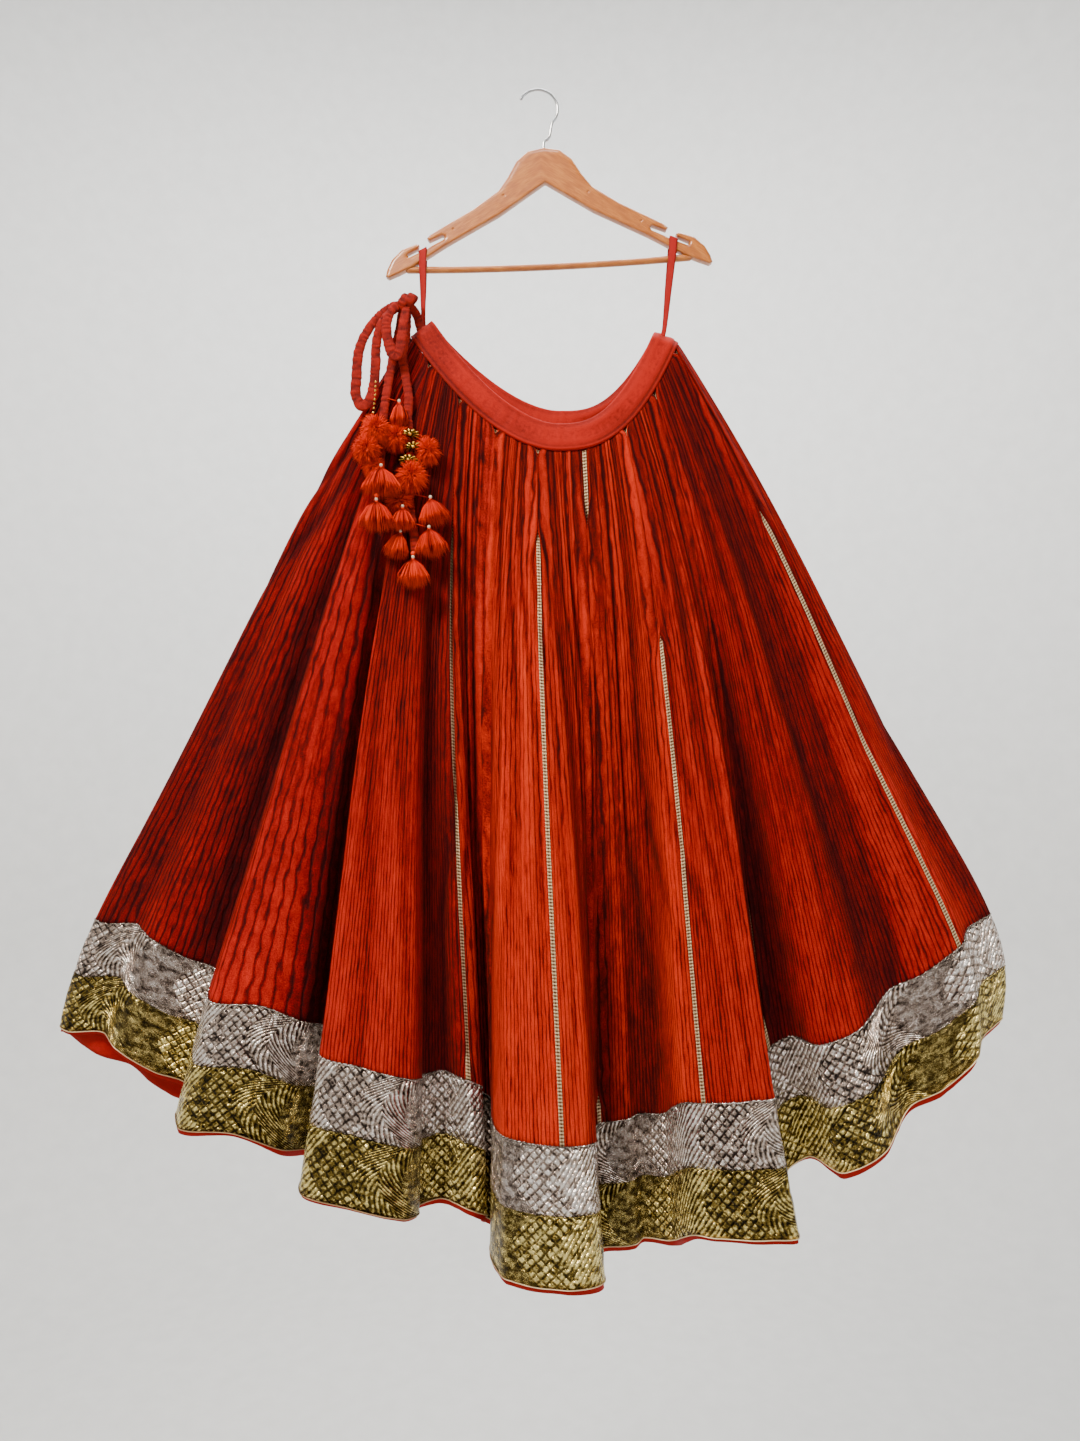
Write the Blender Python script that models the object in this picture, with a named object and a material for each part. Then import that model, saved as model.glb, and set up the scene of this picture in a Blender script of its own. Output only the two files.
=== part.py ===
"""A sixteen-panel lehenga skirt hung flat by its two loops from a wooden hanger.

Frame: the origin is where the hanger's hook rests on its nail, X to the right, Y towards the wall and Z up.
All sizes are real ones. A distance called out is measured forwards from the wall, so y = WALL_Y - out.
"""

import math

import bmesh
import bpy
import numpy as np
from mathutils import Matrix, Vector
from mathutils.bvhtree import BVHTree

MM = 0.001

# Wall and hanger
WALL_Y = 20 * MM
HANGER_TILT = math.radians(2.6)
HANGER_THICKNESS = 12 * MM
HANGER_BAR_RADIUS = 4.2 * MM
HANGER_BAR_DROP = 220 * MM
HANGER_BAR_SAG = 4 * MM
HANGER_BAR_HALF_LENGTH = 182 * MM
HOOK_RADIUS = 25 * MM
HOOK_SHIFT = -4 * MM
HOOK_OPENING = (152, -44)
HOOK_WIRE_RADIUS = 1.7 * MM

# Waistband
BAND_HEIGHT = 34 * MM
BAND_THICKNESS = 5.5 * MM
SEAM_LOW_X = 21 * MM
SEAM_LOW_DROP = 457 * MM
SEAM_LEFT_SPAN = 188 * MM
SEAM_LEFT_RISE = 148 * MM
SEAM_LEFT_POWER = 1.85
SEAM_RIGHT_SPAN = 152 * MM
SEAM_RIGHT_RISE = 137 * MM
SEAM_RIGHT_POWER = 2.6
BACK_LIFT = 22 * MM
WAIST_MID_OUT = 22 * MM
WAIST_HALF_GAP = 10 * MM
WAIST_TURN_SHARE = 0.03

# Skirt
SKIRT_LENGTH = 1000 * MM
CLOTH = 1.6 * MM
SEAM_GAP = 0.3 * MM
PANELS = 16
PANEL_SHARE = 2 / PANELS
FIRST_SEAM = 0.10
BULGE_LEFT = 0.045
BULGE_RIGHT = 0.11
BULGE_INNER = 300 * MM
BULGE_OUTER = 580 * MM
LEAN_OUT = 150 * MM
FOLD_POWER = 1.15

# Columns: a panel's least width at the hem in millimetres, and how many columns of faces it then has
COLUMNS_BY_WIDTH = ((0, 6), (110, 9), (230, 12), (330, 15))
COLUMNS_PER_CREASE = 4
EVEN_HEM = 0.6

# Heights down the cloth, as shares of its length
GATHER_ROWS = (0.0, 0.04, 0.12)
FOLD_ROWS = (0.25, 0.42, 0.62, 0.845)
SILVER_TOP = 0.845
GOLD_TOP = 0.922
HEM = 1.0
FACING_SHOWS = 8 * MM
FACING_GAP = 0.5 * MM
FACING_CLOTH = 1.2 * MM

# Small gathers under the band, and the creases that they run into
GATHER_HEIGHTS = ((0.0, 1.3), (0.04, 2.6), (0.12, 2.8))
CREASE_HEIGHTS = ((0.0, 0.0), (0.12, 3.0), (0.25, 8.0), (0.42, 9.0), (0.62, 8.0), (0.845, 4.0), (1.0, 2.5))
FLAT_BY_SEAM = (3.5, 7.5)
WAIST_PANEL_WIDTH = 66

# Creases fade on the flanks of the large folds, by how far the cloth faces forwards or back
CREASE_FACING = (0.35, 0.8)

# How high each seam rides on the creases, from the first seam round to the last: 1 on a crest, 0 in a valley
SEAM_CRESTS = (0.0, 0.6, 0.0, 1.0, 0.0, 1.0, 0.3, 0.9, 0.4, 0.7, 0.2, 0.8, 0.4, 0.6, 0.2, 0.5)

# Gold ribbon over each seam
RIBBON_WIDTH = 6 * MM
RIBBON_THICKNESS = 0.9 * MM
RIBBON_LIFT = 1.0 * MM

# The front hem from left to right. Columns: share of the front waist that hangs there, millimetres to
# the right of the hook, millimetres out from the wall, and millimetres of length taken up by soft bends.
FRONT_HEM = (
    (0.000, -607, 19, 26),
    (0.007, -592, 30, 30),
    (0.018, -546, 34, 52),
    (0.030, -524, 50, 50),
    (0.045, -476, 50, 44),
    (0.056, -440, 40, 40),
    (0.064, -440, 78, 20),
    (0.072, -424, 106, 18),
    (0.082, -362, 112, 34),
    (0.090, -310, 94, 22),
    (0.096, -286, 56, 14),
    (0.104, -262, 58, 8),
    (0.112, -282, 96, 4),
    (0.123, -276, 134, 0),
    (0.145, -220, 146, 2),
    (0.172, -158, 140, 0),
    (0.184, -144, 112, 0),
    (0.196, -146, 78, 2),
    (0.208, -120, 62, 8),
    (0.225, -82, 76, 4),
    (0.250, -66, 62, 0),
    (0.280, -72, 38, 0),
    (0.330, -56, 34, 0),
    (0.380, -62, 64, 6),
    (0.400, -58, 108, 8),
    (0.425, -38, 148, 8),
    (0.475, 30, 163, 10),
    (0.510, 70, 146, 12),
    (0.535, 73, 98, 10),
    (0.570, 70, 62, 6),
    (0.600, 74, 42, 6),
    (0.630, 116, 54, 12),
    (0.650, 128, 44, 12),
    (0.668, 160, 58, 10),
    (0.684, 168, 92, 24),
    (0.700, 181, 120, 34),
    (0.725, 205, 130, 26),
    (0.755, 254, 150, 16),
    (0.785, 292, 150, 4),
    (0.805, 296, 100, 2),
    (0.850, 303, 48, 18),
    (0.872, 334, 42, 22),
    (0.890, 364, 82, 4),
    (0.920, 418, 72, 4),
    (0.945, 456, 44, 26),
    (0.960, 492, 58, 34),
    (0.975, 532, 60, 50),
    (0.986, 546, 42, 61),
    (0.994, 566, 30, 60),
    (1.000, 582, 19, 58),
)

# The folds of the back hem, from the right side to the left. Columns: width and depth, in millimetres.
BACK_FOLDS = (
    (86, 16),
    (118, 22),
    (70, 14),
    (98, 24),
    (134, 18),
    (76, 24),
    (108, 14),
    (90, 20),
    (124, 24),
    (72, 14),
    (104, 20),
    (92, 16),
)
BACK_NEAREST_OUT = 3
TURN_INSET = 8
TURN_BACK_OUT = 8

# Drawstring. A route's columns: millimetres right of the hook, below it and out from the wall.
CORD_RADIUS = 3 * MM
CORD_STEP = 14 * MM
CASING_SLOT = 0.012
STEM_STRAIGHT = 4 * MM
STEM_BEND = (-157, 284, 29)
KNOT_CENTRE = (-168, 274, 37)
KNOT_SIZE = (12, 8, 8)
LOOP_LEFT = (
    (-170, 275, 37), (-186, 279, 38), (-202, 292, 39), (-219, 316, 40), (-227, 340, 41), (-229, 368, 41),
    (-230, 388, 41), (-223, 403, 41), (-213, 397, 42), (-207, 378, 43), (-205, 352, 44), (-203, 322, 45),
    (-196, 300, 44), (-184, 286, 42), (-170, 277, 39),
)
LOOP_RIGHT = (
    (-171, 276, 40), (-182, 284, 46), (-190, 302, 50), (-189, 322, 52), (-183, 343, 53), (-176, 343, 53),
    (-172, 328, 53), (-170, 310, 52), (-168, 292, 49), (-167, 278, 40),
)
END_LEFT = (
    (-173, 282.1, 33), (-178, 312, 35), (-184, 338, 36), (-188, 362, 38), (-191, 382, 40), (-194, 404, 42),
    (-196, 430, 44), (-197, 456, 46), (-199, 482, 49), (-200, 508, 52), (-200, 526, 53),
)
END_RIGHT = (
    (-167, 282.5, 36), (-168, 312, 36), (-172, 338, 38), (-170, 356, 39), (-167, 374, 40), (-164, 394, 42),
    (-165, 414, 43), (-163, 440, 45), (-161, 464, 47), (-160, 494, 51), (-161, 528, 56), (-156, 560, 61),
    (-153, 592, 64),
)

# The tassels, from the cloth outwards. Columns: kind, millimetres right of the hook and below it to the
# middle, width, height, and lean in degrees. How far out each lies follows from what is behind it.
TASSELS = (
    ("pompom", -173, 527, 28, 26, 0),
    ("fan", -168, 549, 28, 26, 0),
    ("pompom", -205, 484, 22, 24, 0),
    ("pompom", -158, 497, 30, 34, 0),
    ("pompom", -179, 446, 28, 30, 0),
    ("pompom", -203, 438, 30, 32, 10),
    ("pompom", -213, 463, 28, 30, 0),
    ("fan", -175, 416, 20, 28, 0),
    ("pompom", -140, 462, 26, 30, -10),
    ("fan", -193, 505, 46, 34, 0),
    ("fan", -198, 547, 42, 34, 0),
    ("fan", -135, 537, 38, 32, -14),
    ("fan", -171, 579, 28, 30, 14),
    ("fan", -136, 576, 38, 33, -8),
    ("fan", -155, 614, 38, 32, 0),
)
POMPOM_SEGMENTS = 7
POMPOM_RINGS = 5
FAN_LOCKS = 13
LOCKS_BEHIND = 0.02
SETTLE_GAP = 0.5 * MM
EDGE_STEPS = 6
IN_FRONT = 200
BEHIND_TASSELS = ("panel_01", "panel_16", "ribbon_01", "drawstring", "waistband")
FLOWERS = ((-161, 448), (-160, 460), (-161, 472))
FLOWER_RADIUS = 8 * MM
FLOWER_THICKNESS = 4 * MM

LINEAR_COLOURS = {
    "crinkle_cotton": (0.50, 0.030, 0.014, 0.75, 0.0),
    "band_cotton": (0.56, 0.045, 0.018, 0.7, 0.0),
    "silver_gota": (0.46, 0.38, 0.35, 0.35, 0.85),
    "gold_gota": (0.42, 0.33, 0.08, 0.35, 0.85),
    "ribbon_gota": (0.62, 0.52, 0.36, 0.4, 0.7),
    "facing_cotton": (0.62, 0.05, 0.02, 0.8, 0.0),
    "tassel_thread": (0.78, 0.095, 0.010, 0.8, 0.0),
    "flower_metal": (0.50, 0.37, 0.12, 0.3, 0.9),
    "hanger_wood": (0.56, 0.26, 0.085, 0.4, 0.0),
    "hook_wire": (0.55, 0.55, 0.56, 0.3, 1.0),
}


def clear_scene():
    for thing in list(bpy.data.objects):
        bpy.data.objects.remove(thing)


def new_collection(name):
    group = bpy.data.collections.new(name)
    bpy.context.scene.collection.children.link(group)
    return group


def make_material(name):
    red, green, blue, roughness, metallic = LINEAR_COLOURS[name]
    material = bpy.data.materials.new(name)
    material.use_nodes = True
    shader = material.node_tree.nodes["Principled BSDF"]
    shader.inputs["Base Color"].default_value = (red, green, blue, 1)
    shader.inputs["Roughness"].default_value = roughness
    shader.inputs["Metallic"].default_value = metallic
    return material


def add_object(name, mesh, material):
    thing = bpy.data.objects.new(name, mesh)
    PARTS.objects.link(thing)
    thing.data.materials.append(MATERIALS[material])
    return thing


def mesh_from(name, points, faces):
    mesh = bpy.data.meshes.new(name)
    mesh.from_pydata([tuple(p) for p in points], [], faces)
    mesh.update()
    return mesh


def place(right, drop, out):
    """A point from millimetres right of the hook, below it and out from the wall."""
    return Vector((right * MM, WALL_Y - out * MM, -drop * MM))


def unit(vector):
    return vector / max(np.linalg.norm(vector), 1e-12)


# The waist seam, where the gathered cloth meets the band

def seam_curve():
    """Points along the front seam from left to right: two power curves that meet at the lowest point."""
    left = np.linspace(-1, 0, 60)
    right = np.linspace(0, 1, 60)[1:]
    x = np.concatenate([SEAM_LOW_X + SEAM_LEFT_SPAN * left, SEAM_LOW_X + SEAM_RIGHT_SPAN * right])
    z = np.concatenate([
        -SEAM_LOW_DROP + SEAM_LEFT_RISE * np.abs(left) ** SEAM_LEFT_POWER,
        -SEAM_LOW_DROP + SEAM_RIGHT_RISE * right ** SEAM_RIGHT_POWER,
    ])
    along = np.concatenate([[0], np.cumsum(np.hypot(np.diff(x), np.diff(z)))])
    return along / along[-1], x, z


SEAM_SHARE, SEAM_X, SEAM_Z = seam_curve()


def waist(share):
    """(point, direction across the band towards its top) at a share of the ring: 0 to 1 is the front, 1 to 2 the back."""
    share = share % 2
    front = share if share <= 1 else 2 - share
    side = min(front, 1 - front) * (1 if share <= 1 else -1)
    turn = math.sin(max(-1.0, min(1.0, side / WAIST_TURN_SHARE)) * math.pi / 2)
    x = float(np.interp(front, SEAM_SHARE, SEAM_X))
    z = float(np.interp(front, SEAM_SHARE, SEAM_Z))
    ahead, behind = min(front + 0.01, 1), max(front - 0.01, 0)
    slope = unit(np.array([
        np.interp(ahead, SEAM_SHARE, SEAM_X) - np.interp(behind, SEAM_SHARE, SEAM_X),
        np.interp(ahead, SEAM_SHARE, SEAM_Z) - np.interp(behind, SEAM_SHARE, SEAM_Z),
    ]))
    lift = BACK_LIFT * math.sin(math.pi * front) if share > 1 else 0.0
    out = WAIST_MID_OUT + WAIST_HALF_GAP * turn
    return np.array([x, WALL_Y - out, z + lift]), np.array([-slope[1], 0.0, slope[0]])


def ring_direction(share):
    """The unit direction round the waist, towards higher shares."""
    return unit(waist(share + 0.006)[0] - waist(share - 0.006)[0])


# The hem, as a curve seen from above

def back_hem_rows():
    """The back hem's rows, worked out from its folds: each fold starts near the wall and bends in at its middle."""
    first, last = FRONT_HEM[-1], FRONT_HEM[0]
    total = sum(width for width, _ in BACK_FOLDS)
    start, span = first[1] - TURN_INSET, last[1] - first[1] + 2 * TURN_INSET
    rows, done = [(1.008, start, TURN_BACK_OUT, first[3])], 0
    for width, depth in BACK_FOLDS:
        for inside, reach in ((0.18, 0), (0.58, depth)):
            share = (done + inside * width) / total
            taken = first[3] + (last[3] - first[3]) * share
            rows.append((1.02 + 0.96 * share, start + span * share, BACK_NEAREST_OUT + reach, taken))
        done += width
    rows.append((1.992, last[1] + TURN_INSET, TURN_BACK_OUT, last[3]))
    return rows


HEM_ROWS = list(FRONT_HEM) + back_hem_rows()
HEM_SHARES = np.array([row[0] for row in HEM_ROWS] + [2.0])
HEM_POINTS = np.array([row[1:] for row in HEM_ROWS], float)


def hem(share):
    """(x, out, taken up) of the hem in millimetres: a Catmull-Rom curve through the rows, closed all round."""
    at = float(np.interp(share % 2, HEM_SHARES, np.arange(len(HEM_SHARES))))
    index = min(int(at), len(HEM_POINTS) - 1)
    w = at - index
    a, b, c, d = (HEM_POINTS[(index + step) % len(HEM_POINTS)] for step in (-1, 0, 1, 2))
    chord = np.linalg.norm(c - b)
    leave = unit(c - a) * chord * 0.8
    reach = unit(d - b) * chord * 0.8
    return (
        (2 * w**3 - 3 * w**2 + 1) * b + (w**3 - 2 * w**2 + w) * leave
        + (3 * w**2 - 2 * w**3) * c + (w**3 - w**2) * reach
    )


def smooth_cloth(share, down):
    """The cloth without its gathers: a line of it leaves the seam square to the band and bends down to the hem."""
    seam, across = waist(share)
    hem_x, hem_out, taken_up = hem(share)
    dx = hem_x * MM - seam[0]
    dy = (WALL_Y - hem_out * MM) - seam[1]
    drop = math.sqrt((SKIRT_LENGTH - taken_up * MM) ** 2 - dx**2 - dy**2)
    side = np.clip((abs(hem_x * MM) - BULGE_INNER) / (BULGE_OUTER - BULGE_INNER), 0, 1)
    bulge = (BULGE_RIGHT if hem_x > 0 else BULGE_LEFT) * side * math.sin(math.pi * min(down, 1) ** 4)
    x = seam[0] + dx * (down + bulge) - across[0] * LEAN_OUT * down * (1 - min(down, 1)) ** 2
    y = seam[1] + dy * down**FOLD_POWER
    return np.array([x, y, seam[2] - drop * down])


def outward(share, down):
    """The smooth cloth's normal, away from the body of the skirt."""
    step = 0.0015
    low = max(down - 0.02, 0)
    along = smooth_cloth(share + step, down) - smooth_cloth(share - step, down)
    down_line = smooth_cloth(share, down + 0.02) - smooth_cloth(share, low)
    return unit(np.cross(down_line, along))


def along_cloth(share, down):
    """The unit direction down the cloth."""
    return unit(smooth_cloth(share, down + 0.005) - smooth_cloth(share, down - 0.005))


def table(rows, at):
    return float(np.interp(at, [row[0] for row in rows], [row[1] for row in rows]))


def panel_shares(panel):
    """Where a panel's fine columns stand on the ring: spaced evenly along its waist and its hem alike."""
    start = FIRST_SEAM + panel * PANEL_SHARE
    shares = np.linspace(start, start + PANEL_SHARE, 81)
    line = np.array([hem(share)[:2] for share in shares])
    along = np.concatenate([[0], np.cumsum(np.linalg.norm(np.diff(line, axis=0), axis=1))])
    measure = EVEN_HEM * along / along[-1] + (1 - EVEN_HEM) * np.linspace(0, 1, len(shares))
    columns = max(count for width, count in COLUMNS_BY_WIDTH if along[-1] >= width)
    return np.interp(np.linspace(0, 1, 2 * columns + 1), measure, shares)


SHARES = [panel_shares(panel) for panel in range(PANELS)]


def panel_columns(panel):
    """How many coarse columns a panel has."""
    return (len(SHARES[panel]) - 1) // 2


def cloth_point(panel, column, down, fine, lower=0.0):
    """A point of the outer face and its normal. fine tells whether columns count the small gathers,
    and lower moves the point down the cloth, for a seam's gap."""
    coarse = panel_columns(panel)
    columns = coarse * (2 if fine else 1)
    part = column / columns
    share = SHARES[panel][column if fine else 2 * column]
    normal = outward(share, down)
    from_seam = min(part, 1 - part) * columns
    creases = round(coarse / COLUMNS_PER_CREASE)
    wave = 0.5 - 0.5 * math.cos(2 * math.pi * part * creases)
    uneven = 0.7 + 0.3 * math.sin(5.3 * share * math.pi + 0.7)
    seam = panel if part < 0.5 else (panel + 1) % PANELS
    near = max(0.0, 1 - from_seam / (4 if fine else 2))
    raised = SEAM_CRESTS[seam] * near + uneven * wave * (1 - near)
    facing = np.clip((abs(normal[1]) - CREASE_FACING[0]) / (CREASE_FACING[1] - CREASE_FACING[0]), 0, 1)
    height = raised * facing * table(CREASE_HEIGHTS, down)
    if fine:
        from_seam_mm = min(part, 1 - part) * WAIST_PANEL_WIDTH
        calm = np.clip((from_seam_mm - FLAT_BY_SEAM[0]) / (FLAT_BY_SEAM[1] - FLAT_BY_SEAM[0]), 0, 1)
        height -= calm * table(GATHER_HEIGHTS, down) * (column % 2)
    shift = along_cloth(share, down) * lower if lower else 0.0
    return smooth_cloth(share, down) + normal * height * MM + shift, normal


def wall_faces(rows, inner):
    """Faces of a wall. rows hold the outer points' numbers from top to bottom, inner is the step to the inner ones.
    A row may hold every second point of the row above."""
    faces = []
    for upper, lower in zip(rows, rows[1:]):
        each = (len(upper) - 1) // (len(lower) - 1)
        for i in range(len(lower) - 1):
            top = upper[i * each:(i + 1) * each + 1]
            outer = [[lower[i], lower[i + 1], top[0]]]
            outer += [[a, lower[i + 1], b] for a, b in zip(top, top[1:])]
            faces += outer
            faces += [[k + inner for k in face[::-1]] for face in outer]
    for row, turned in ((rows[0], False), (rows[-1], True)):
        for a, b in zip(row, row[1:]):
            faces += split_edge(a, b, inner, turned)
    for end, turned in ((0, True), (-1, False)):
        for upper, lower in zip(rows, rows[1:]):
            faces += split_edge(upper[end], lower[end], inner, turned)
    return faces


def split_edge(a, b, inner, turned):
    """The two triangles of a wall's edge face, split the same way on both sides of a seam."""
    faces = [[a, b, b + inner], [a, b + inner, a + inner]]
    return [face[::-1] for face in faces] if turned else faces


def open_wall(name, grid, normals, thickness, material):
    """A closed wall between an outer grid of points and the same grid moved in by the cloth's thickness."""
    rows, points, moved, count = [], [], [], 0
    for line, directions in zip(grid, normals):
        rows.append(list(range(count, count + len(line))))
        count += len(line)
        points += line
        moved += [p - n * thickness for p, n in zip(line, directions)]
    return add_object(name, mesh_from(name, points + moved, wall_faces(rows, count)), material)


def draw_in(line, gap):
    """The row of points with its two ends drawn in, so that neighbours stay apart."""
    line[0] = line[0] + unit(line[1] - line[0]) * gap
    line[-1] = line[-1] + unit(line[-2] - line[-1]) * gap
    return line


def make_panels():
    """The sixteen panels, each gathered finely into the band and creased further down."""
    for panel in range(PANELS):
        grid, normals = [], []
        for down in GATHER_ROWS + FOLD_ROWS:
            fine = down in GATHER_ROWS
            columns = panel_columns(panel) * (2 if fine else 1)
            lower = -SEAM_GAP if down == SILVER_TOP else 0.0
            made = [cloth_point(panel, column, down, fine, lower) for column in range(columns + 1)]
            grid.append(draw_in([point for point, _ in made], SEAM_GAP / 2))
            normals.append([normal for _, normal in made])
        open_wall(f"panel_{panel + 1:02d}", grid, normals, CLOTH, "crinkle_cotton")


def ring_row(down, inset, lower):
    """All coarse columns at one height, moved inwards by inset and down the cloth by lower, with their normals."""
    made = [
        cloth_point(panel, column, down, False, lower)
        for panel in range(PANELS) for column in range(panel_columns(panel))
    ]
    return [point - normal * inset for point, normal in made], [normal for _, normal in made]


def make_ring(name, heights, inset, thickness, material, lower=0.0, below=0.0):
    """A closed band of the hem between two heights down the cloth. lower shifts its last row,
    and below adds one more row that far past it."""
    outer, inner = [], []
    for down in heights:
        points, normals = ring_row(down, inset, lower if down == heights[-1] else 0.0)
        outer.append(points)
        inner.append([p - n * thickness for p, n in zip(points, normals)])
    if below:
        steps = [unit(low - high) * below for high, low in zip(outer[0], outer[1])]
        outer.append([p + step for p, step in zip(outer[-1], steps)])
        inner.append([p + step for p, step in zip(inner[-1], steps)])
    count = len(outer[0])
    total = count * len(outer)
    faces = []
    for row in range(len(outer) - 1):
        for i in range(count):
            j = (i + 1) % count
            a, b, c, d = row * count + i, row * count + j, (row + 1) * count + j, (row + 1) * count + i
            outer_faces = [[a, d, c], [a, c, b]]
            faces += outer_faces
            faces += [[k + total for k in face[::-1]] for face in outer_faces]
    last = total - count
    for i in range(count):
        j = (i + 1) % count
        faces += split_edge(i, j, total, False)
        faces += split_edge(last + i, last + j, total, True)
    points = [p for line in outer for p in line] + [p for line in inner for p in line]
    return add_object(name, mesh_from(name, points, faces), material)


def make_hem():
    """The silver strip, the gold strip under it, and the red facing that shows below them."""
    make_ring("border_silver", (SILVER_TOP, GOLD_TOP), 0.0, CLOTH, "silver_gota", lower=-SEAM_GAP)
    make_ring("border_gold", (GOLD_TOP, HEM), 0.0, CLOTH, "gold_gota")
    inset = CLOTH + FACING_GAP
    make_ring("hem_facing", (GOLD_TOP, HEM), inset, FACING_CLOTH, "facing_cotton", below=FACING_SHOWS)


def beside(middle, half, panel, column, step, down, fine):
    """The first point of the row that lies at least half a ribbon from the seam."""
    point, _ = cloth_point(panel, column, down, fine)
    while np.linalg.norm(point - middle) < half:
        column += step
        point, _ = cloth_point(panel, column, down, fine)
    return point


def make_ribbons():
    """One gold ribbon over each seam. Its points are the seam's own, moved out."""
    for seam in range(PANELS):
        lines, directions = [], []
        for down in GATHER_ROWS + FOLD_ROWS:
            fine = down in GATHER_ROWS
            middle, normal = cloth_point(seam, 0, down, fine)
            before = (seam - 1) % PANELS
            before_columns = panel_columns(before) * (2 if fine else 1)
            half = RIBBON_WIDTH / 2
            left = beside(middle, half, before, before_columns - 1, -1, down, fine)
            right = beside(middle, half, seam, 1, 1, down, fine)
            line = [middle + unit(left - middle) * half, middle, middle + unit(right - middle) * half]
            if down == 0.0:
                line = [p + unit(np.array([0, 0, -1.0])) * SEAM_GAP for p in line]
            lines.append([p + normal * (RIBBON_LIFT + RIBBON_THICKNESS) for p in line])
            directions.append([normal] * 3)
        open_wall(f"ribbon_{seam + 1:02d}", lines, directions, RIBBON_THICKNESS, "ribbon_gota")


# Waistband

def make_waistband():
    """The gathered casing: a padded strip all round the waist, open only where the drawstring comes out."""
    profile = 8
    front = [*np.linspace(CASING_SLOT, 0.04, 4)[:-1], *np.linspace(0.04, 0.96, 24), 0.973, 0.984, 0.993]
    shares = front + [1.0] + [2 - share for share in front[::-1]]
    columns = len(shares) - 1
    points, faces = [], []
    for share in shares:
        foot, up = waist(share)
        normal = unit(np.cross(ring_direction(share), up))
        foot = foot + up * SEAM_GAP
        for k in range(profile):
            angle = 2 * math.pi * (k + 0.5) / profile
            rise = BAND_HEIGHT / 2 * (1 + math.copysign(abs(math.sin(angle)) ** 0.55, math.sin(angle)))
            thick = BAND_THICKNESS / 2 * math.copysign(abs(math.cos(angle)) ** 0.9, math.cos(angle))
            points.append(foot + up * rise + normal * thick)
    for i in range(columns):
        for k in range(profile):
            m = (k + 1) % profile
            faces.append([i * profile + k, (i + 1) * profile + k, (i + 1) * profile + m, i * profile + m])
    faces.append([k for k in range(profile)])
    faces.append([columns * profile + k for k in range(profile)][::-1])
    add_object("waistband", mesh_from("waistband", points, faces), "band_cotton")


# Hanger

HANGER_HALF = (
    (0, 72.5), (20, 76), (35, 88), (47, 108), (59, 124), (92, 146), (127, 164.5), (148, 176), (152, 180.5), (149, 184),
    (132, 177), (129.5, 179.5), (131, 182.5), (163, 198), (176, 203.5), (177.5, 199.5), (163, 192.5), (161, 188.5),
    (165, 186.5), (184, 193), (197, 205), (204, 218), (206, 226), (202, 228.5), (189, 223.5), (172, 216), (158, 208),
    (127, 190), (59, 155), (0, 117),
)


def tilted(right, drop):
    """A point of the hanger's own plane, turned about the hook by the tilt that it hangs at."""
    c, s = math.cos(HANGER_TILT), math.sin(HANGER_TILT)
    x, z = right * MM, -drop * MM
    return Vector((x * c - z * s, 0, x * s + z * c))


def make_hanger():
    outline = list(HANGER_HALF) + [(-x, drop) for x, drop in HANGER_HALF[-2:0:-1]]
    curve = bpy.data.curves.new("hanger_outline", "CURVE")
    curve.dimensions = "2D"
    curve.fill_mode = "BOTH"
    curve.extrude = HANGER_THICKNESS / 2
    spline = curve.splines.new("POLY")
    spline.points.add(len(outline) - 1)
    for point, (right, drop) in zip(spline.points, outline):
        flat = tilted(right, drop)
        point.co = (flat.x, flat.z, 0, 1)
    spline.use_cyclic_u = True
    body = solid_from_curve("hanger_body", curve, Matrix.Rotation(math.radians(90), 4, "X"), "hanger_wood")
    bar_points = []
    for i in range(9):
        along = -1 + 2 * i / 8
        sag = HANGER_BAR_SAG * (1 - along**2) / MM
        bar_points.append(tilted(HANGER_BAR_HALF_LENGTH / MM * along, HANGER_BAR_DROP / MM + sag - 2))
    bar = tube("hanger_bar_stock", bar_points, HANGER_BAR_RADIUS, "hanger_wood", 2)
    join_to(body, [bar])


def make_hook():
    """The wire hook: from its tip on the left over the top, round to the right and down into the body."""
    centre = Vector((HOOK_SHIFT, 0, HOOK_WIRE_RADIUS - HOOK_RADIUS))
    route = []
    for i in range(15):
        angle = math.radians(HOOK_OPENING[0] + (HOOK_OPENING[1] - HOOK_OPENING[0]) * i / 14)
        route.append(centre + Vector((HOOK_RADIUS * math.cos(angle), 0, HOOK_RADIUS * math.sin(angle))))
    neck = tilted(0, HANGER_HALF[0][1])
    rises = ((7, 14), (1.5, 9), (0, 5), (0, 0.5))
    route += [neck + Vector((right * MM, 0, up * MM)) for right, up in rises]
    tube("hanger_hook", route, HOOK_WIRE_RADIUS, "hook_wire", 1)


def solid_from_curve(name, curve, matrix, material):
    """A mesh object from a curve's shape, with its caps welded."""
    stand = bpy.data.objects.new(name + "_curve", curve)
    bpy.context.scene.collection.objects.link(stand)
    stand.matrix_world = matrix
    bpy.context.view_layer.update()
    mesh = bpy.data.meshes.new_from_object(stand.evaluated_get(bpy.context.evaluated_depsgraph_get()))
    bpy.data.objects.remove(stand)
    work = bmesh.new()
    work.from_mesh(mesh)
    bmesh.ops.remove_doubles(work, verts=work.verts, dist=0.00002)
    work.to_mesh(mesh)
    work.free()
    mesh.transform(matrix)
    mesh.name = name
    return add_object(name, mesh, material)


def tube(name, route, radius, material, resolution=2):
    """A round tube along a route, as a poly curve with a bevel and filled caps."""
    curve = bpy.data.curves.new(name, "CURVE")
    curve.dimensions = "3D"
    curve.bevel_depth = radius
    curve.bevel_resolution = resolution
    curve.use_fill_caps = True
    spline = curve.splines.new("POLY")
    spline.points.add(len(route) - 1)
    for point, spot in zip(spline.points, route):
        point.co = (*spot, 1)
    return solid_from_curve(name, curve, Matrix.Identity(4), material)


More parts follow.
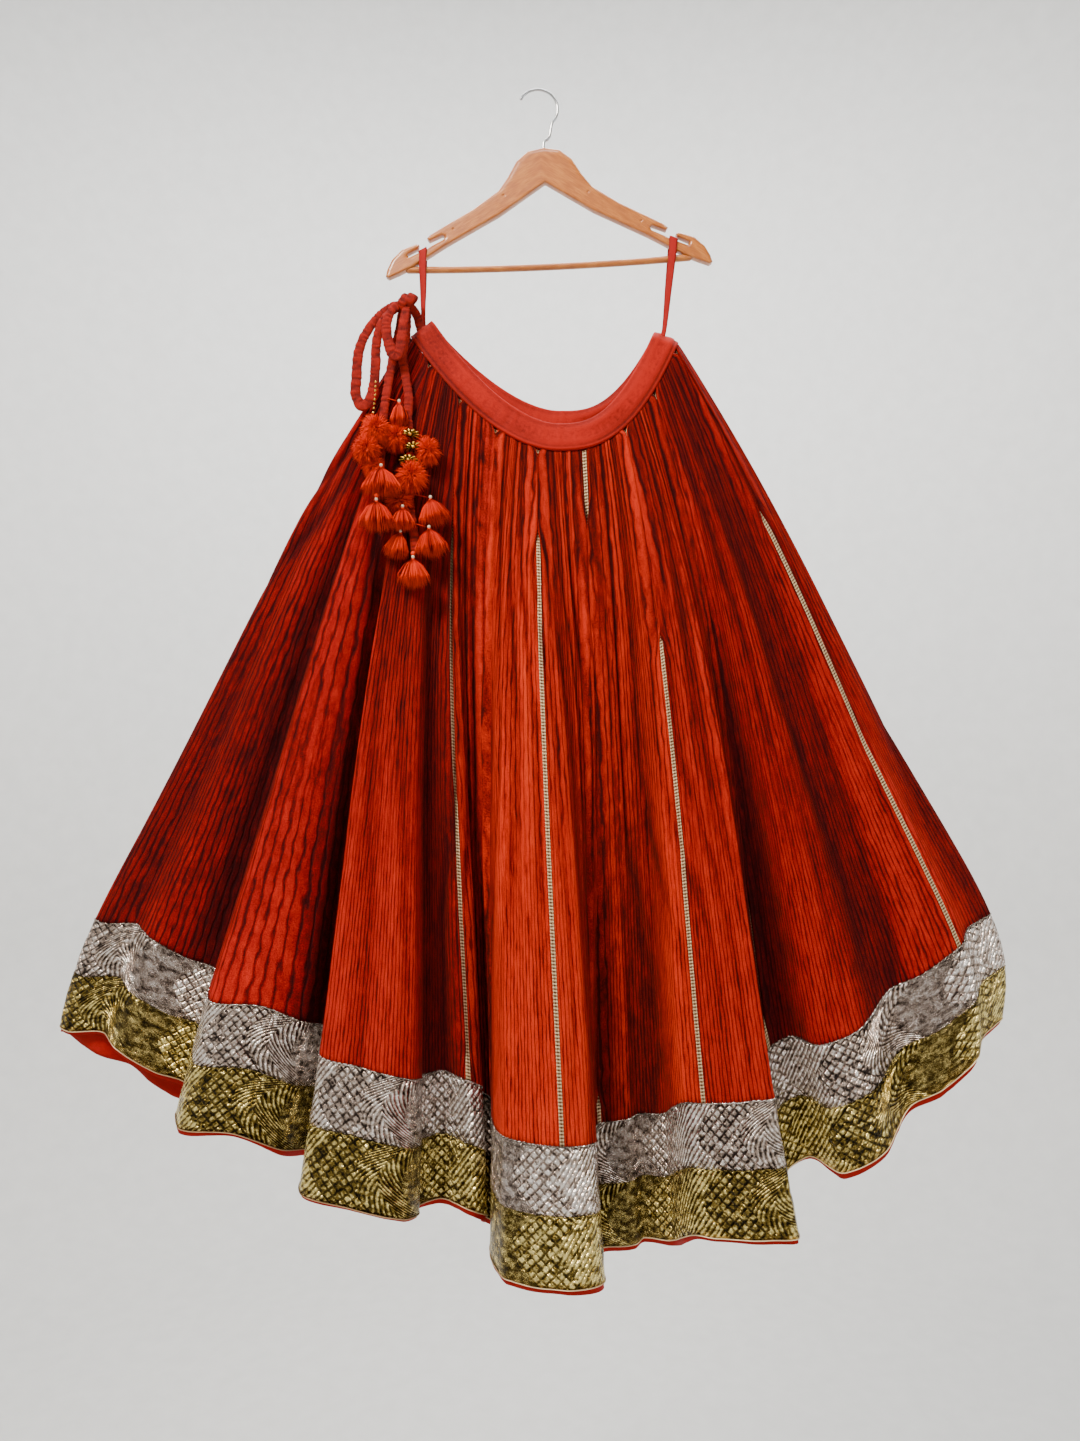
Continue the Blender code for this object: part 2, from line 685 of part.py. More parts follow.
def move_to_cutters(thing):
    PARTS.objects.unlink(thing)
    CUTTERS.objects.link(thing)
    thing.hide_render = True
    thing.display_type = "WIRE"


# Hanging loops, drawstring and tassels

LOOP_WIDTH = 11 * MM
LOOP_THICKNESS = 1.2 * MM
LOOP_NARROW = 0.5
LOOP_GAP = 0.5 * MM
LOOP_SPREAD = 1.4 * MM
LOOP_HEIGHT = 0.7
ARM_COVER = 16 * MM
NOTCH_FLOOR = (158, 195.6)
NOTCH_SLOPE = (32, 15.5)


def loop_feet(side):
    """(place, direction out of the band, direction across the band) of a hanging loop's two ends, front one first.
    The left loop's ends lie on the two ends of the casing, the right loop's on the band's turn."""
    feet = []
    for face in (1, -1):
        share = 1.0 if side > 0 else (CASING_SLOT if face > 0 else 2 - CASING_SLOT)
        point, up = waist(share)
        if side > 0:
            away = np.array([up[2], 0, -up[0]])
            shift = away * (BAND_THICKNESS / 2 + LOOP_GAP) - np.array([0, face * LOOP_SPREAD, 0])
        else:
            away = ring_direction(share) * -face
            shift = away * LOOP_GAP
        feet.append((point + up * BAND_HEIGHT * LOOP_HEIGHT + shift, away, up))
    return feet


def make_hanging_loop(name, side):
    """A ribbon sewn to the band's end, taken up over the hanger's notch and down behind it."""
    crest = np.array(tilted(side * NOTCH_FLOOR[0], NOTCH_FLOOR[1]))
    floor = unit(np.array(tilted(side * NOTCH_SLOPE[0], NOTCH_SLOPE[1])) * side)
    rise = np.array([-floor[2], 0, floor[0]])
    half = HANGER_THICKNESS / 2 + LOOP_THICKNESS / 2 + SEAM_GAP
    over = LOOP_THICKNESS / 2 + SEAM_GAP
    stations = []
    for face, (foot, away, up) in zip((1, -1), loop_feet(side)):
        front = np.array([0, -face, 0.0])
        above = foot + away * 7 * MM
        fall = unit((above - crest) * np.array([1, 0, 1]))
        side_stations = [
            (foot, -up * side, LOOP_NARROW), (above, -up * side, LOOP_NARROW),
            ((above + crest) / 2 + front * half * 0.5, floor * 0.5 - up * side * 0.5, 0.8),
            (crest + front * half + fall * ARM_COVER, floor * 0.8 - up * side * 0.2, 0.9),
            (crest + front * half + rise * over, floor, 1.0),
            (crest + front * half * 0.75 + rise * (over + 0.5 * MM), floor, 1.0),
        ]
        stations += side_stations if face > 0 else side_stations[::-1]
    points, faces = [], []
    last = len(stations) - 1
    for i, (centre, slope, narrow) in enumerate(stations):
        direction = unit(stations[min(i + 1, last)][0] - stations[max(i - 1, 0)][0])
        flat = unit(np.cross(direction, slope))
        across = unit(slope)
        for a, b in ((-1, -1), (1, -1), (1, 1), (-1, 1)):
            points.append(centre + across * a * LOOP_WIDTH / 2 * narrow + flat * b * LOOP_THICKNESS / 2)
    for i in range(last):
        for k in range(4):
            m = (k + 1) % 4
            faces.append([i * 4 + k, i * 4 + m, (i + 1) * 4 + m, (i + 1) * 4 + k])
    faces += [[3, 2, 1, 0], [last * 4 + k for k in range(4)]]
    thing = add_object(name, mesh_from(name, points, faces), "band_cotton")
    face_outwards(thing.data)


def face_outwards(mesh):
    work = bmesh.new()
    work.from_mesh(mesh)
    bmesh.ops.recalc_face_normals(work, faces=work.faces)
    work.to_mesh(mesh)
    work.free()


def curve_through(rows, step):
    """Points a step apart on a Catmull-Rom curve through rows of (right, drop, out)."""
    spots = [np.array(place(*row)) for row in rows]
    spots = [2 * spots[0] - spots[1]] + spots + [2 * spots[-1] - spots[-2]]
    fine = []
    for a, b, c, d in zip(spots, spots[1:], spots[2:], spots[3:]):
        for k in range(12):
            w = k / 12
            fine.append(0.5 * (2 * b + (c - a) * w + (2 * a - 5 * b + 4 * c - d) * w**2 + (3 * b - a - 3 * c + d) * w**3))
    fine.append(spots[-2])
    fine = np.array(fine)
    along = np.concatenate([[0], np.cumsum(np.linalg.norm(np.diff(fine, axis=0), axis=1))])
    count = max(2, round(along[-1] / step) + 1)
    at = np.linspace(0, along[-1], count)
    return [Vector([float(np.interp(s, along, fine[:, k])) for k in range(3)]) for s in at]


def make_drawstring():
    """The drawstring leaves the casing's two mouths and is tied in a bow, with two ends that carry the tassels."""
    stems = []
    for name, share, side in (("bow_stem_front", CASING_SLOT, -1), ("bow_stem_back", 2 - CASING_SLOT, 1)):
        foot, up = waist(share)
        away = ring_direction(share) * side
        mouth = foot + up * (SEAM_GAP + BAND_HEIGHT / 2) + away * SEAM_GAP
        route = [mouth, mouth + away * STEM_STRAIGHT, place(*STEM_BEND), place(*KNOT_CENTRE)]
        stems.append(tube(name, [Vector(p) for p in route], CORD_RADIUS, "band_cotton", 1))
    work = bmesh.new()
    bmesh.ops.create_uvsphere(work, u_segments=12, v_segments=7, radius=1.0)
    bmesh.ops.scale(work, vec=Vector((KNOT_SIZE[0], KNOT_SIZE[2], KNOT_SIZE[1])) * MM, verts=work.verts)
    mesh = bpy.data.meshes.new("drawstring_bow")
    work.to_mesh(mesh)
    work.free()
    mesh.transform(Matrix.Translation(place(*KNOT_CENTRE)))
    bow = add_object("drawstring_bow", mesh, "band_cotton")
    join_to(bow, stems + [
        tube("bow_loop_left", curve_through(LOOP_LEFT, CORD_STEP), CORD_RADIUS, "band_cotton", 1),
        tube("bow_loop_right", curve_through(LOOP_RIGHT, CORD_STEP), CORD_RADIUS, "band_cotton", 1),
    ])
    tube("drawstring_end_left", curve_through(END_LEFT, CORD_STEP), CORD_RADIUS, "band_cotton", 1)
    tube("drawstring_end_right", curve_through(END_RIGHT, CORD_STEP), CORD_RADIUS, "band_cotton", 1)


def join_to(body, others):
    """Boolean unions of the others into the body, which are kept as cutters."""
    for other in others:
        join = body.modifiers.new(other.name, "BOOLEAN")
        join.operation = "UNION"
        join.object = other
        join.use_self = True
        move_to_cutters(other)


def edge_points(mesh):
    """The mesh's corners, and points along its edges."""
    points = [vertex.co.copy() for vertex in mesh.vertices]
    for edge in mesh.edges:
        a, b = (mesh.vertices[index].co for index in edge.vertices)
        points += [a.lerp(b, step / EDGE_STEPS) for step in range(1, EDGE_STEPS)]
    return points


def points_and_tree(mesh):
    corners = [vertex.co.copy() for vertex in mesh.vertices]
    return edge_points(mesh), BVHTree.FromPolygons(corners, [tuple(face.vertices) for face in mesh.polygons])


def solid_tree(thing):
    bpy.context.view_layer.update()
    return points_and_tree(thing.evaluated_get(bpy.context.evaluated_depsgraph_get()).to_mesh())


def settle(mesh, behind):
    """Moves a mesh towards the wall until it lies SETTLE_GAP from the nearest of the solids behind it."""
    points, tree = points_and_tree(mesh)
    left, right = min(p.x for p in points), max(p.x for p in points)
    low, high = min(p.z for p in points), max(p.z for p in points)
    reach = [1.0]
    for other_points, other_tree in behind:
        for point in points:
            hit = other_tree.ray_cast(point, Vector((0, 1, 0)))
            if hit[0]:
                reach.append(hit[3])
        for point in other_points:
            if left <= point.x <= right and low <= point.z <= high:
                hit = tree.ray_cast(point, Vector((0, -1, 0)))
                if hit[0]:
                    reach.append(hit[3])
    mesh.transform(Matrix.Translation((0, min(reach) - SETTLE_GAP, 0)))


def pull_locks(work, faces, reach, taper, spread):
    """Each face is drawn out on its own into one lock of thread. spread gives a lock's direction."""
    made = bmesh.ops.extrude_discrete_faces(work, faces=faces)["faces"]
    for face in made:
        middle = face.calc_center_median()
        direction = spread(middle, face.normal)
        for vertex in face.verts:
            vertex.co = middle + (vertex.co - middle) * taper + direction * reach


def pompom_cage():
    """A cut pompom: a core with a lock from each face that looks away from the cloth."""
    work = bmesh.new()
    bmesh.ops.create_uvsphere(work, u_segments=POMPOM_SEGMENTS, v_segments=POMPOM_RINGS, radius=0.5)
    front = [face for face in work.faces if face.calc_center_median().y < LOCKS_BEHIND]
    pull_locks(work, front, 0.3, 0.72, lambda middle, normal: middle.normalized())
    return work


def fan_cage():
    """A tassel: a bound head that opens into a fan of locks."""
    work = bmesh.new()
    bmesh.ops.create_cone(work, cap_ends=True, cap_tris=True, segments=FAN_LOCKS, radius1=0.42, radius2=0.12, depth=0.7)
    bmesh.ops.translate(work, verts=work.verts, vec=(0, 0, 0.35))
    lower = [face for face in work.faces if face.normal.z < -0.9]
    pull_locks(work, lower, 0.9, 0.66, lambda middle, normal: Vector((middle.x * 1.5, middle.y * 1.5, -0.8)))
    return work


def sized(name, work, right, drop, width, height, lean):
    """The cage as a mesh of real size, well in front of the cloth."""
    low = min(vertex.co.z for vertex in work.verts)
    high = max(vertex.co.z for vertex in work.verts)
    wide = max(abs(vertex.co.x) for vertex in work.verts) * 2
    bmesh.ops.translate(work, verts=work.verts, vec=(0, 0, -(low + high) / 2))
    bmesh.ops.recalc_face_normals(work, faces=work.faces)
    mesh = bpy.data.meshes.new(name)
    work.to_mesh(mesh)
    work.free()
    size = Matrix.Diagonal((width * MM / wide, width * MM / wide * 0.7, height * MM / (high - low), 1))
    turn = Matrix.Rotation(math.radians(lean), 4, "Y")
    mesh.transform(Matrix.Translation(place(right, drop, IN_FRONT)) @ turn @ size)
    return mesh


def make_tassels():
    """Each tassel settles on the drawstring, the cloth or the tassels behind it."""
    behind = [solid_tree(thing) for thing in PARTS.objects if thing.name.startswith(BEHIND_TASSELS)]
    for number, (kind, right, drop, width, height, lean) in enumerate(TASSELS):
        name = f"tassel_{number + 1:02d}"
        cage = pompom_cage() if kind == "pompom" else fan_cage()
        mesh = sized(name, cage, right, drop, width, height, lean)
        settle(mesh, behind)
        behind.append(solid_tree(add_object(name, mesh, "tassel_thread")))
    make_flowers(behind)


def make_flowers(behind):
    """Three gilt flowers strung one under the other, overlapping, as one piece."""
    made = []
    for number, (right, drop) in enumerate(FLOWERS):
        work = bmesh.new()
        bmesh.ops.create_cone(work, cap_ends=True, cap_tris=False, segments=10, radius1=FLOWER_RADIUS,
                              radius2=FLOWER_RADIUS * 0.55, depth=FLOWER_THICKNESS)
        mesh = bpy.data.meshes.new(f"gilt_flower_{number}")
        work.to_mesh(mesh)
        work.free()
        turn = Matrix.Rotation(math.radians(90), 4, "X") @ Matrix.Rotation(math.radians(18 * number), 4, "Z")
        mesh.transform(Matrix.Translation(place(right, drop, IN_FRONT - number * 0.5)) @ turn)
        made.append(add_object("gilt_flowers" if number == 0 else mesh.name, mesh, "flower_metal"))
    join_to(made[0], made[1:])
    points = [vertex.co for flower in made for vertex in flower.data.vertices]
    whole = bpy.data.meshes.new("flowers_whole")
    whole.from_pydata(points, [], [
        tuple(index + offset for index in face.vertices)
        for flower, offset in zip(made, (0, 20, 40)) for face in flower.data.polygons
    ])
    before = whole.vertices[0].co.y
    settle(whole, behind)
    shift = whole.vertices[0].co.y - before
    for flower in made:
        flower.data.transform(Matrix.Translation((0, shift, 0)))
    bpy.data.meshes.remove(whole)


clear_scene()
PARTS = new_collection("lehenga_skirt_on_hanger")
CUTTERS = new_collection("cutters")
MATERIALS = {name: make_material(name) for name in LINEAR_COLOURS}
make_panels()
make_hem()
make_ribbons()
make_waistband()
make_hanger()
make_hook()
make_hanging_loop("hanging_loop_left", -1)
make_hanging_loop("hanging_loop_right", 1)
make_drawstring()
make_tassels()
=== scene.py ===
# %% [markdown]
# A lehenga is a flared skirt. This one is sewn from sixteen gores of crinkled cotton, with a wide metallic
# border at its hem, a drawstring waistband and thread tassels, and it hangs by two ribbon loops from a wooden
# hanger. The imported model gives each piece's place and size, and this lesson dresses those pieces: it makes
# the fine form of the cloth from formulas and gives every surface its material.

# %% Load the frame
import math

import bmesh
import bpy
import mathutils.geometry
import numpy as np
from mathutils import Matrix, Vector


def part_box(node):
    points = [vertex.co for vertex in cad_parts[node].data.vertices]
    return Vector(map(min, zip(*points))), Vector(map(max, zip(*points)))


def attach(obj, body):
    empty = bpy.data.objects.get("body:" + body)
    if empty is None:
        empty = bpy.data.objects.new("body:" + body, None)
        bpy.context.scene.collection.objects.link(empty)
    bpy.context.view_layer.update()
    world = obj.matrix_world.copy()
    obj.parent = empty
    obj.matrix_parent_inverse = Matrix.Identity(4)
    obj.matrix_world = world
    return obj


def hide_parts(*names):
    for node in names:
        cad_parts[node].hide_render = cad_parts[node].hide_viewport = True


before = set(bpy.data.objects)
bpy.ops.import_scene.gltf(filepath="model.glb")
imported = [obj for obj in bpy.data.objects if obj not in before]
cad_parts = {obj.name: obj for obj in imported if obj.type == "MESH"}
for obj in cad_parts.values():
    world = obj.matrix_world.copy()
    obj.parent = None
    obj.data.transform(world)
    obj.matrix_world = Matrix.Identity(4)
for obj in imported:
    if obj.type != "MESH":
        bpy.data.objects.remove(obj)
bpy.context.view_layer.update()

MM = 0.001

# %% [markdown]
# The camera stands where the photograph was taken from: level, in front of the middle of the skirt, 1.34 m
# from the wall that it hangs on. A wide lens that near makes the folds that stand out look larger than the
# cloth behind them, so the distance matters as much as the framing.

# %% The camera
CAMERA_PLACE = (-0.00126, -1.32, -0.79374)
CAMERA_LENS = 26.15
camera_data = bpy.data.cameras.new("camera")
camera_data.sensor_width = 36
camera_data.lens = CAMERA_LENS
camera = bpy.data.objects.new("camera", camera_data)
camera.location = CAMERA_PLACE
camera.rotation_euler = (math.radians(90), 0, 0)
bpy.context.scene.collection.objects.link(camera)
bpy.context.scene.camera = camera
print("camera", CAMERA_PLACE, "lens", CAMERA_LENS, "mm")

# %% [markdown]
# Most pieces are grids: a rule gives a point for each row and column, and numpy works out all of them at
# once. One function turns such a grid into a mesh with its UV map, and may close it round a tube.


# %% Grids to meshes
def unit(vectors):
    """Each vector divided by its own length."""
    return vectors / np.maximum(np.linalg.norm(vectors, axis=-1, keepdims=True), 1e-12)


def add_piece(name, points, faces, material, replaced=(), uv=None, flags=None):
    """A piece from corner points and faces of one kind. It rides on the body, and stands for the CAD nodes
    in replaced. uv holds a pair for each face corner, and flags holds named values for each point."""
    faces = np.asarray(faces)
    sides = faces.shape[1]
    mesh = bpy.data.meshes.new(name)
    mesh.vertices.add(len(points))
    mesh.vertices.foreach_set("co", np.asarray(points, np.float32).ravel())
    mesh.loops.add(faces.size)
    mesh.loops.foreach_set("vertex_index", faces.astype(np.int32).ravel())
    mesh.polygons.add(len(faces))
    mesh.polygons.foreach_set("loop_start", np.arange(0, faces.size, sides, dtype=np.int32))
    mesh.polygons.foreach_set("loop_total", np.full(len(faces), sides, np.int32))
    mesh.update(calc_edges=True)
    if uv is not None:
        layer = mesh.uv_layers.new(name="cloth")
        layer.data.foreach_set("uv", np.asarray(uv, np.float32).ravel())
    for key, values in (flags or {}).items():
        layer = mesh.attributes.new(key, "FLOAT", "POINT")
        layer.data.foreach_set("value", np.asarray(values, np.float32).ravel())
    mesh.shade_smooth()
    mesh.materials.append(material)
    piece = bpy.data.objects.new(name, mesh)
    bpy.context.scene.collection.objects.link(piece)
    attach(piece, "root")
    if replaced:
        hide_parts(*replaced)
    return piece


def grid_faces(rows, columns, wrap):
    """The corner numbers of each cell: down, right, up. wrap joins the last column to the first."""
    index = np.arange(rows * columns).reshape(rows, columns)
    if wrap:
        index = np.hstack([index, index[:, :1]])
    cells = [index[:-1, :-1], index[1:, :-1], index[1:, 1:], index[:-1, 1:]]
    return np.stack(cells, axis=-1).reshape(-1, 4)


def add_grid(name, points, uv, material, replaced=(), wrap=False, flags=None):
    """A piece from a grid of points (rows, columns, 3). Its UV grid has one more column where it wraps."""
    rows, columns = points.shape[:2]
    corners = [uv[:-1, :-1], uv[1:, :-1], uv[1:, 1:], uv[:-1, 1:]]
    loops = np.stack(corners, axis=-2).reshape(-1, 2)
    faces = grid_faces(rows, columns, wrap)
    return add_piece(name, points.reshape(-1, 3), faces, material, replaced, loops, flags)


def add_thickness(piece, thickness):
    """Gives an open surface its real thickness, inwards from its outer face."""
    shell = piece.modifiers.new("thickness", "SOLIDIFY")
    shell.thickness = thickness
    shell.offset = -1
    return piece


def merge_doubles(piece, outwards=False):
    """Closes the poles and tips of a piece, where several corners lie on one spot. outwards then turns all
    faces of a closed piece out."""
    work = bmesh.new()
    work.from_mesh(piece.data)
    bmesh.ops.remove_doubles(work, verts=work.verts, dist=1e-6)
    if outwards:
        bmesh.ops.recalc_face_normals(work, faces=work.faces)
    work.to_mesh(piece.data)
    work.free()
    return piece


def close_up(piece):
    return merge_doubles(piece, outwards=True)


def triangles_of(piece):
    mesh = piece.evaluated_get(bpy.context.evaluated_depsgraph_get()).to_mesh()
    return sum(len(face.vertices) - 2 for face in mesh.polygons)


# %% [markdown]
# Cloth is never even, so most of its rules hold a smooth noise: random values on the whole numbers, eased
# into each other between them. The values come from a seeded table, so each run gives the same folds.


# %% Noise
NOISE_SIZE = 256
NOISE_TABLE = np.random.default_rng(7).random((NOISE_SIZE, NOISE_SIZE))


def noise(u, v=0.0, seed=0):
    """Value noise from 0 to 1: the four table values round (u, v), blended with 3t^2 - 2t^3 along each axis."""
    u, v = np.broadcast_arrays(np.asarray(u, float) + 17.3 * seed, np.asarray(v, float) + 5.7 * seed)
    i, j = np.floor(u).astype(int), np.floor(v).astype(int)
    a, b = u - i, v - j
    a, b = a * a * (3 - 2 * a), b * b * (3 - 2 * b)
    i, j = i % NOISE_SIZE, j % NOISE_SIZE
    after_i, after_j = (i + 1) % NOISE_SIZE, (j + 1) % NOISE_SIZE
    above = NOISE_TABLE[i, j] * (1 - a) + NOISE_TABLE[after_i, j] * a
    below = NOISE_TABLE[i, after_j] * (1 - a) + NOISE_TABLE[after_i, after_j] * a
    return above * (1 - b) + below * b


def step(low, high, at):
    """0 below low, 1 above high, eased between."""
    t = np.clip((at - low) / (high - low), 0, 1)
    return t * t * (3 - 2 * t)


print("noise table", NOISE_TABLE.shape)

# %% [markdown]
# Materials are node trees. One small function adds a node, sets its values and links what feeds it, and
# colours are written as the sRGB hex values that a colour picker shows and turned to linear light.


# %% Colours and nodes
def linear(hex_colour, alpha=1.0):
    """sRGB hex to linear: c / 12.92 below 0.04045, and ((c + 0.055) / 1.055) ^ 2.4 above."""
    values = np.array([int(hex_colour[i:i + 2], 16) / 255 for i in (1, 3, 5)])
    made = np.where(values <= 0.04045, values / 12.92, ((values + 0.055) / 1.055) ** 2.4)
    return (*made.tolist(), alpha)


def add_node(tree, kind, inputs=None, stops=(), feeds=None, **settings):
    """A node with its settings. inputs maps a socket's name or number to a value or to an output to link. stops
    are the (position, hex colour) pairs of a ramp, and feeds is the socket that takes the first output."""
    made = tree.nodes.new("ShaderNode" + kind)
    for key, value in settings.items():
        setattr(made, key, value)
    for key, value in (inputs or {}).items():
        if isinstance(value, bpy.types.NodeSocket):
            tree.links.new(value, made.inputs[key])
        else:
            made.inputs[key].default_value = value
    if stops:
        marks = made.color_ramp.elements
        while len(marks) < len(stops):
            marks.new(1.0)
        for mark, (position, colour) in zip(marks, stops):
            mark.position, mark.color = position, linear(colour)
    if feeds is not None:
        tree.links.new(made.outputs[0], feeds)
    return made


SOCKETS = {
    "metallic": "Metallic", "roughness": "Roughness", "specular": "Specular IOR Level",
    "sheen": "Sheen Weight", "sheen_roughness": "Sheen Roughness", "sheen_tint": "Sheen Tint",
    "coat": "Coat Weight", "coat_roughness": "Coat Roughness",
}


def new_material(name, **values):
    """A Principled material with its uniform values on the shader's own sockets."""
    material = bpy.data.materials.new(name)
    material.use_nodes = True
    shader = material.node_tree.nodes["Principled BSDF"]
    for key, value in values.items():
        shader.inputs[SOCKETS[key]].default_value = value
    return material, material.node_tree, shader


def pattern(tree, kind, scale, source="UV", **inputs):
    """A texture read at scale repeats a metre along each axis, from the UV map or from Object coordinates."""
    place = add_node(tree, "TexCoord").outputs[source]
    mapped = add_node(tree, "Mapping", {"Vector": place, "Scale": scale})
    values = {"Vector": mapped.outputs[0], **{key.capitalize(): value for key, value in inputs.items()}}
    return add_node(tree, kind, values).outputs[0]


def sum_of(tree, *terms):
    """Adds up (output, weight) pairs."""
    total = 0.0
    for output, weight in terms:
        total = add_node(tree, "Math", {0: output, 1: weight, 2: total}, operation="MULTIPLY_ADD").outputs[0]
    return total


# %% [markdown]
# The gores are crinkled cotton with a short, brushed pile: fibres were pressed into fine ribs along the cloth and
# then brushed, so it shows bright orange-red where the pile leans to the light and dark crimson where it leans
# away. That sheen is painted into the colour, in soft patches streaked along the ribs. The sheen socket gives the
# pale bloom at glancing angles.
# The ribs are 5 mm apart near the hem and bunch to folds 17 mm apart, on the flat cloth, under the waistband.


# %% Cotton materials
RIB_PITCHES = (17 * MM, 9 * MM, 5.2 * MM)
RIB_BLENDS = ((0, 0.01), (0.14, 0.30), (0.42, 0.64))


def valleys(tree, scale, sharp, **inputs):
    """0 along thin wandering lines and 1 between them: |noise - 0.5| times sharp, no more than 1."""
    field = pattern(tree, "TexNoise", scale, **inputs)
    away = add_node(tree, "Math", {0: field, 1: 0.5}, operation="SUBTRACT").outputs[0]
    away = add_node(tree, "Math", {0: away}, operation="ABSOLUTE").outputs[0]
    return add_node(tree, "Math", {0: away, 1: sharp}, operation="MULTIPLY", use_clamp=True).outputs[0]


def make_ribs(tree):
    """The pressed ribs: |sin(pi * (u / pitch + wander))| times 1.5, no more than 1, so crests are broad and the
    valleys thin. The cloth is drawn in towards the waist, where ribs bunch together: three such rows, each
    wider on the flat cloth than the one below it, are blended down the skirt."""
    split = add_node(tree, "SeparateXYZ", {0: add_node(tree, "TexCoord").outputs["UV"]}).outputs
    ribs = None
    for pitch, (start, end) in zip(RIB_PITCHES, RIB_BLENDS):
        wander = pattern(tree, "TexNoise", (0.28 / pitch, 6, 1), detail=1.0)
        phase = sum_of(tree, (split[0], math.pi / pitch), (wander, 0.9 * math.pi))
        row = add_node(tree, "Math", {0: phase}, operation="SINE").outputs[0]
        row = add_node(tree, "Math", {0: row}, operation="ABSOLUTE").outputs[0]
        row = add_node(tree, "Math", {0: row, 1: 1.5}, operation="MULTIPLY", use_clamp=True).outputs[0]
        share = add_node(tree, "MapRange", {"Value": split[1], "From Min": start, "From Max": end}).outputs[0]
        if ribs is None:
            ribs = row
        else:
            ribs = add_node(tree, "MixRGB", {"Fac": share, "Color1": ribs, "Color2": row}).outputs[0]
    return ribs


def make_crinkle_cotton():
    """Crinkled brushed cotton: dark lines between the ribs, soft patches painted as the sheen of the brushed pile,
    and flecks of single fibres.
    The attribute crest, how high the cloth stands in its gathers and folds, paints shade: darker in their valleys and
    in recessed folds. A second attribute makes each gore's cloth orange or crimson, partly the colour it was dyed and
    partly painted shade on the gores at the sides."""
    material, tree, shader = new_material(
        "crinkled_brushed_cotton", roughness=0.85, sheen=0.1, sheen_roughness=0.4, specular=0.12,
        sheen_tint=linear("#ff5030"),
    )
    ribs = make_ribs(tree)
    grain = pattern(tree, "TexNoise", (360, 120, 1), detail=2.0, roughness=0.75)
    # Painted sheen: these soft patches stand for the brushed pile catching the light or turning away from it.
    painted_nap_sheen = pattern(tree, "TexNoise", (16, 5, 1), detail=4.0, roughness=0.7, distortion=0.4)
    streak = pattern(tree, "TexNoise", (120, 16, 1), detail=2.0, roughness=0.6)
    crest = add_node(tree, "Attribute", attribute_name="crest").outputs["Fac"]
    dye_and_painted_shade = add_node(tree, "Attribute", attribute_name="dye_and_painted_shade").outputs["Fac"]
    # Painted light in the colour: the crest values paint shade into valleys and recessed folds, the per-gore value
    # partly paints shade on the side gores, and the soft pile patches paint sheen.
    shade = sum_of(tree, (ribs, 0.42), (grain, 0.9), (painted_nap_sheen, 0.6), (streak, 0.35), (crest, 0.6), (1.0, -1.18))
    crimson = add_node(
        tree, "ValToRGB", {"Fac": shade},
        stops=((0.05, "#2c0002"), (0.3, "#580304"), (0.55, "#960b09"), (0.95, "#d82a16")),
    ).outputs[0]
    orange = add_node(
        tree, "ValToRGB", {"Fac": shade},
        stops=((0.05, "#3c0201"), (0.3, "#8a1004"), (0.55, "#cc280a"), (0.95, "#f64a18")),
    ).outputs[0]
    mixed = add_node(tree, "MixRGB", {"Fac": dye_and_painted_shade, "Color1": crimson, "Color2": orange}).outputs[0]
    tree.links.new(mixed, shader.inputs["Base Color"])
    relief_height = sum_of(tree, (ribs, 0.6), (grain, 0.5), (streak, 0.5))
    add_node(
        tree, "Bump", {"Height": relief_height, "Distance": 1.7 * MM},
        feeds=shader.inputs["Normal"],
    )
    return material


def make_plain_cotton(name, dark, light, sheen, thread=1.8 * MM, depth=0.35 * MM):
    """A plain slub weave: crossing threads, drawn 1.8 mm apart so that they show, some thicker and paler. The
    attribute fold paints shade into the colour: 1 where the cloth stands out and 0, darkest, in its wrinkles and
    stitched grooves."""
    material, tree, shader = new_material(
        name, roughness=0.75, sheen=sheen, sheen_roughness=0.4, specular=0.2, sheen_tint=linear("#ff7a50"),
    )
    along = pattern(tree, "TexNoise", (40, 1 / thread, 1), detail=2.0)
    across = pattern(tree, "TexNoise", (1 / thread, 40, 1), detail=2.0)
    fold = add_node(tree, "Attribute", attribute_name="fold").outputs["Fac"]
    shade = sum_of(tree, (along, 0.8), (across, 0.5), (fold, 0.6), (1.0, -0.45))
    add_node(
        tree, "ValToRGB", {"Fac": shade},
        stops=((0.1, dark), (0.8, light)),
        feeds=shader.inputs["Base Color"],
    )
    relief_height = sum_of(tree, (along, 0.5), (across, 0.5))
    add_node(
        tree, "Bump", {"Height": relief_height, "Distance": depth},
        feeds=shader.inputs["Normal"],
    )
    return material


CRINKLE = make_crinkle_cotton()
BAND_COTTON = make_plain_cotton("slub_cotton_band", "#480301", "#b41a08", 0.04, depth=0.3 * MM)
FACING_COTTON = make_plain_cotton("plain_cotton_facing", "#780602", "#b81409", 0.04)
LOOP_SATIN = make_plain_cotton("ribbon_satin", "#5c0806", "#a61a16", 0.1, depth=0.15 * MM)
CORD_COTTON = make_plain_cotton("bias_cotton_cord", "#3c0402", "#a51a0a", 0.08, thread=1.6 * MM, depth=0.7 * MM)

# %% [markdown]
# Gota is a woven strip of metal-wrapped thread, embossed by rollers. The silver strip has gone pinkish and
# the gold one olive, as thin plate does over the years. Metal takes its look from what it mirrors, so the relief
# does the work: pillowed diamonds, leaf veins, slanting stripes and a stipple, in turn along the strip, over
# a soft crumple. Painted shade, painted reflection and painted glints in the colour add to it. These are common
# trimming ornaments and are worked out here from sines.


# %% Gota materials
DIAMOND = 11.5 * MM
STROKE = 6.5 * MM
ORNAMENT = 56 * MM
STRIP = 77 * MM


